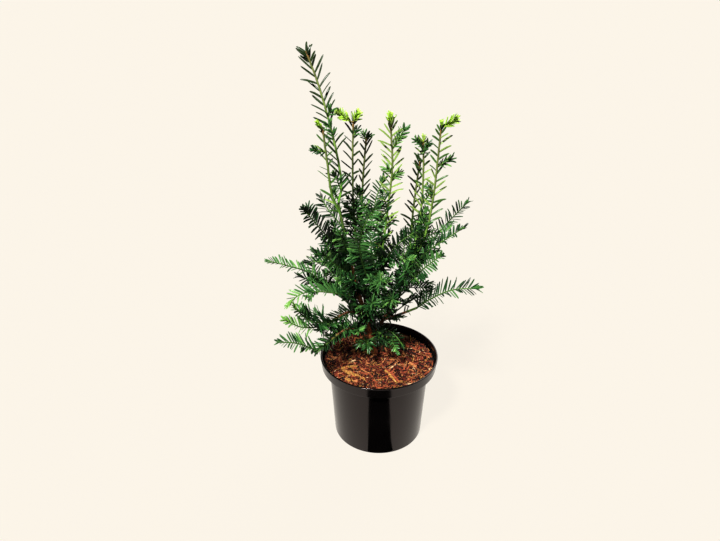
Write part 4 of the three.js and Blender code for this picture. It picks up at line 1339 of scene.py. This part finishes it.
def needleMesh(needles):
    # each needle's middle line is an arc that leaves at its opening and bends away from the
    # stem and down; its section has two margins, a midrib above and a keel below
    opening = needles["opening"][:, None]
    aside, start = needles["aside"], needles["start"]
    away = np.cos(opening) * aside - np.sin(opening) * needles["along"]
    down = np.array([0, 0, -1.0])
    down = down - start * (start @ down)[:, None]
    bend = needles["recurve"][:, None] * away + needles["droop"][:, None] * down
    amount = np.linalg.norm(bend, axis=1, keepdims=True) + 1e-6
    towards = bend / amount
    # its face turns by roll from the shoot's tip to the shoot's own face
    out = needles["out"] - start * (needles["out"] * start).sum(axis=1, keepdims=True)
    out = unit(out - 1e-4 * away)
    roll = needles["roll"][:, None]
    rise = unit(np.sin(roll) * out - np.cos(roll) * away)
    # the arc: root + length (sin(t) / amount start + (1 - cos(t)) / amount towards)
    turn = amount[:, None] * needleShape["shares"][None, :, None]
    length = needles["length"][:, None, None]
    middle = (needles["root"] + aside * needles["sunk"][:, None])[:, None] + length * (
        np.sin(turn) / amount[:, None] * start[:, None]
        + (1 - np.cos(turn)) / amount[:, None] * towards[:, None])
    heading = np.cos(turn) * start[:, None] + np.sin(turn) * towards[:, None]
    upper = turnAbout(np.broadcast_to(rise[:, None], heading.shape), np.cross(start, towards)[:, None],
                      np.cos(turn), np.sin(turn))
    upper = unit(upper - heading * (upper * heading).sum(axis=-1, keepdims=True))
    across = np.cross(heading, upper)
    half = (needles["width"][:, None] * needleShape["widths"] / 2)[..., None]
    ridge, keel = needleShape["midrib"] * 2 * half, needleShape["keel"] * 2 * half
    corners = np.stack([middle + half * across, middle + ridge * upper,
                        middle - half * across, middle - keel * upper], axis=2)
    # four-sided rings with a flat end each; the two upper faces of a ring look waxy
    count, stations = len(corners), len(needleShape["shares"])
    first = (np.arange(count) * stations * 4)[:, None, None]
    body = first + gridFaces(stations, 4)[None]
    last = (stations - 1) * 4
    ends = first + np.array([[0, 1, 2, 3], [last + 3, last + 2, last + 1, last]])[None]
    quads = np.concatenate([body, ends], axis=1).reshape(-1, 4)
    look = np.concatenate([np.tile([0, 0, 1, 1], stations - 1), [1, 1]])
    return corners.reshape(-1, 3), quads, np.tile(look, count)


def makeNeedles(needles):
    # one piece for each tint, its upper face glossy with wax and its underside matt and paler;
    # pieces of the masses' own tints stand in for the solids of those masses
    tint = dealTints(needles)
    homes = {"dark": ["dark"], "mid": ["mid", "bright"], "fresh": ["fresh"]}
    for number, (name, (upperColour, underColour)) in enumerate(needleTints.items()):
        chosen = tint == number
        if not chosen.any():
            continue
        waxy, _, _ = newMaterial(f"waxy {name} yew needle", {
            "Base Color": linearColour(upperColour), "Roughness": 0.28, "IOR": 1.45,
            "Specular IOR Level": 0.26})
        matt, _, _ = newMaterial(f"underside of {name} yew needle", {
            "Base Color": linearColour(underColour), "Roughness": 0.65, "IOR": 1.45,
            "Specular IOR Level": 0.12})
        points, quads, look = needleMesh({key: value[chosen] for key, value in needles.items()})
        nodes = [mass["name"] for mass in masses if mass["tint"] in homes.get(name, [])]
        piece = addPiece(f"needles_{name}", points, [quads], [waxy, matt], nodes, look=look)
        # the margins are creases: edges along corners 0 and 2 are the margins
        sharpen(piece, lambda a, b: (a % 4 == b % 4) & (a % 2 == 0))


stemTints = {
    # colours of each kind of shoot's stem from its foot to its tip
    "leader": [(0, "#74AE42"), (0.5, "#7F9C4A"), (0.93, "#7E8650"), (0.98, "#96703F")],
    "spray": [(0, "#3A5226"), (0.5, "#486A2C"), (1, "#5C8638")],
    "fan": [(0, "#4A6A2E"), (1, "#568234")],
    "plume": [(0, "#3A5226"), (1, "#5C8638")],
    "tuft": [(0, "#6C8638"), (1, "#5D8A38")],
    "brush": [(0, "#8A5A2C"), (0.3, "#9A9A40"), (1, "#B4CC52")],
    "bud": [(0, "#96803A"), (1, "#B4CC52")],
}

stemShape = {
    "sides": 10,
    "ringStep": 2.2,
    "ridges": 5,
    "ridge": 0.1,          # a ridge's height as a share of the radius
    "wind": 0.35,          # radians in each millimetre
}


def makeStems(shoots):
    # tubes with five ridges that wind up the stem under the needles' feet
    sides = stemShape["sides"]
    for kindName, stops in stemTints.items():
        parts, places = [], []
        for shoot in shoots:
            if shoot["kind"] != kindName or "woody" in shoot:
                continue
            length = lengthOf(shoot["line"])
            rings = max(int(length / stemShape["ringStep"]), 4)
            share = np.linspace(0, 1, rings)[:, None]
            wave = np.cos(stemShape["ridges"] * turnsOf(sides)[None] + share * length * stemShape["wind"])
            radius = shoot["foot"] + (shoot["tip"] - shoot["foot"]) * share
            radius = radius * (1 + stemShape["ridge"] * wave) * np.where(share > 0.985, 0.6, 1)
            parts.append(tube(evenly(shoot["line"], rings), radius, sides, shoot["face"]))
            places.append(np.concatenate([np.repeat(share[:, 0], sides), [0, 1]]))
        # green yew twig: ridged, slightly shiny, paler than the needles, with darker flecks
        green, tree, shader = newMaterial(f"green yew twig of a {kindName}", {
            "Roughness": 0.5, "IOR": 1.45, "Specular IOR Level": 0.25})
        place = addNode(tree, "ShaderNodeAttribute", {"attribute_name": "place"})
        tone = addNode(tree, "ShaderNodeValToRGB", inputs={"Fac": place.outputs["Fac"]}, stops=stops)
        fleck = addNode(tree, "ShaderNodeMapRange", inputs={
            "Value": grain(tree, 3.0, 2.0, (1, 1, 0.4)), "From Min": 0.35, "From Max": 0.6, "To Min": 0.6})
        addNode(tree, "ShaderNodeMix", {"data_type": "RGBA", "blend_type": "MULTIPLY"}, {
            "Factor": 1, "A": tone.outputs["Color"], "B": fleck.outputs["Result"]},
            into=shader.inputs["Base Color"])
        points, quads, triangles = joined(parts)
        addPiece(f"twigs_{kindName}", points, [quads, triangles], [green], [],
                 values={"place": np.concatenate(places)})


def trimmed(shoots, needles):
    # a twig that keeps under a third of its needles goes, and the others' stems end at their
    # last needle
    many = len(shoots)
    held = needles["length"] > 0
    full = np.bincount(needles["shoot"], minlength=many)
    left = np.bincount(needles["shoot"], held, many)
    last = np.zeros(many)
    np.maximum.at(last, needles["shoot"], needles["share"] * held)
    stays = left > full * growth["fewest"]
    stems = []
    for number, shoot in enumerate(shoots):
        if "main" in shoot or "woody" in shoot:
            stays[number] = True
        elif stays[number]:
            count = growth["twigSteps"] + 1
            cut = np.linspace(0, min(last[number] + growth["bareTip"], 1), count)
            shoot["line"] = evenly(pointAt(shoot["line"], cut), count)
        if stays[number]:
            stems.append(shoot)
    return stems, held & stays[needles["shoot"]]


def makeFoliage():
    # grows the shoots, shortens or drops the needles that have no room, and makes what is left
    shoots = growShoots()
    print("grew", len(shoots), "shoots")
    rows = [needlesOn(number, shoot) for number, shoot in enumerate(shoots)]
    needles = {key: np.concatenate([row[key] for row in rows]) for key in rows[0]}
    needles["length"] = fittedLength(needles["root"], needles["start"], needles["length"],
                                     needles["owner"], [1, 0.75, 0.5], needles["close"])
    stems, kept = trimmed(shoots, needles)
    print("kept", int(kept.sum()), "of", len(kept), "needles")
    makeNeedles({key: value[kept] for key, value in needles.items()})
    makeStems(stems)


makeFoliage()
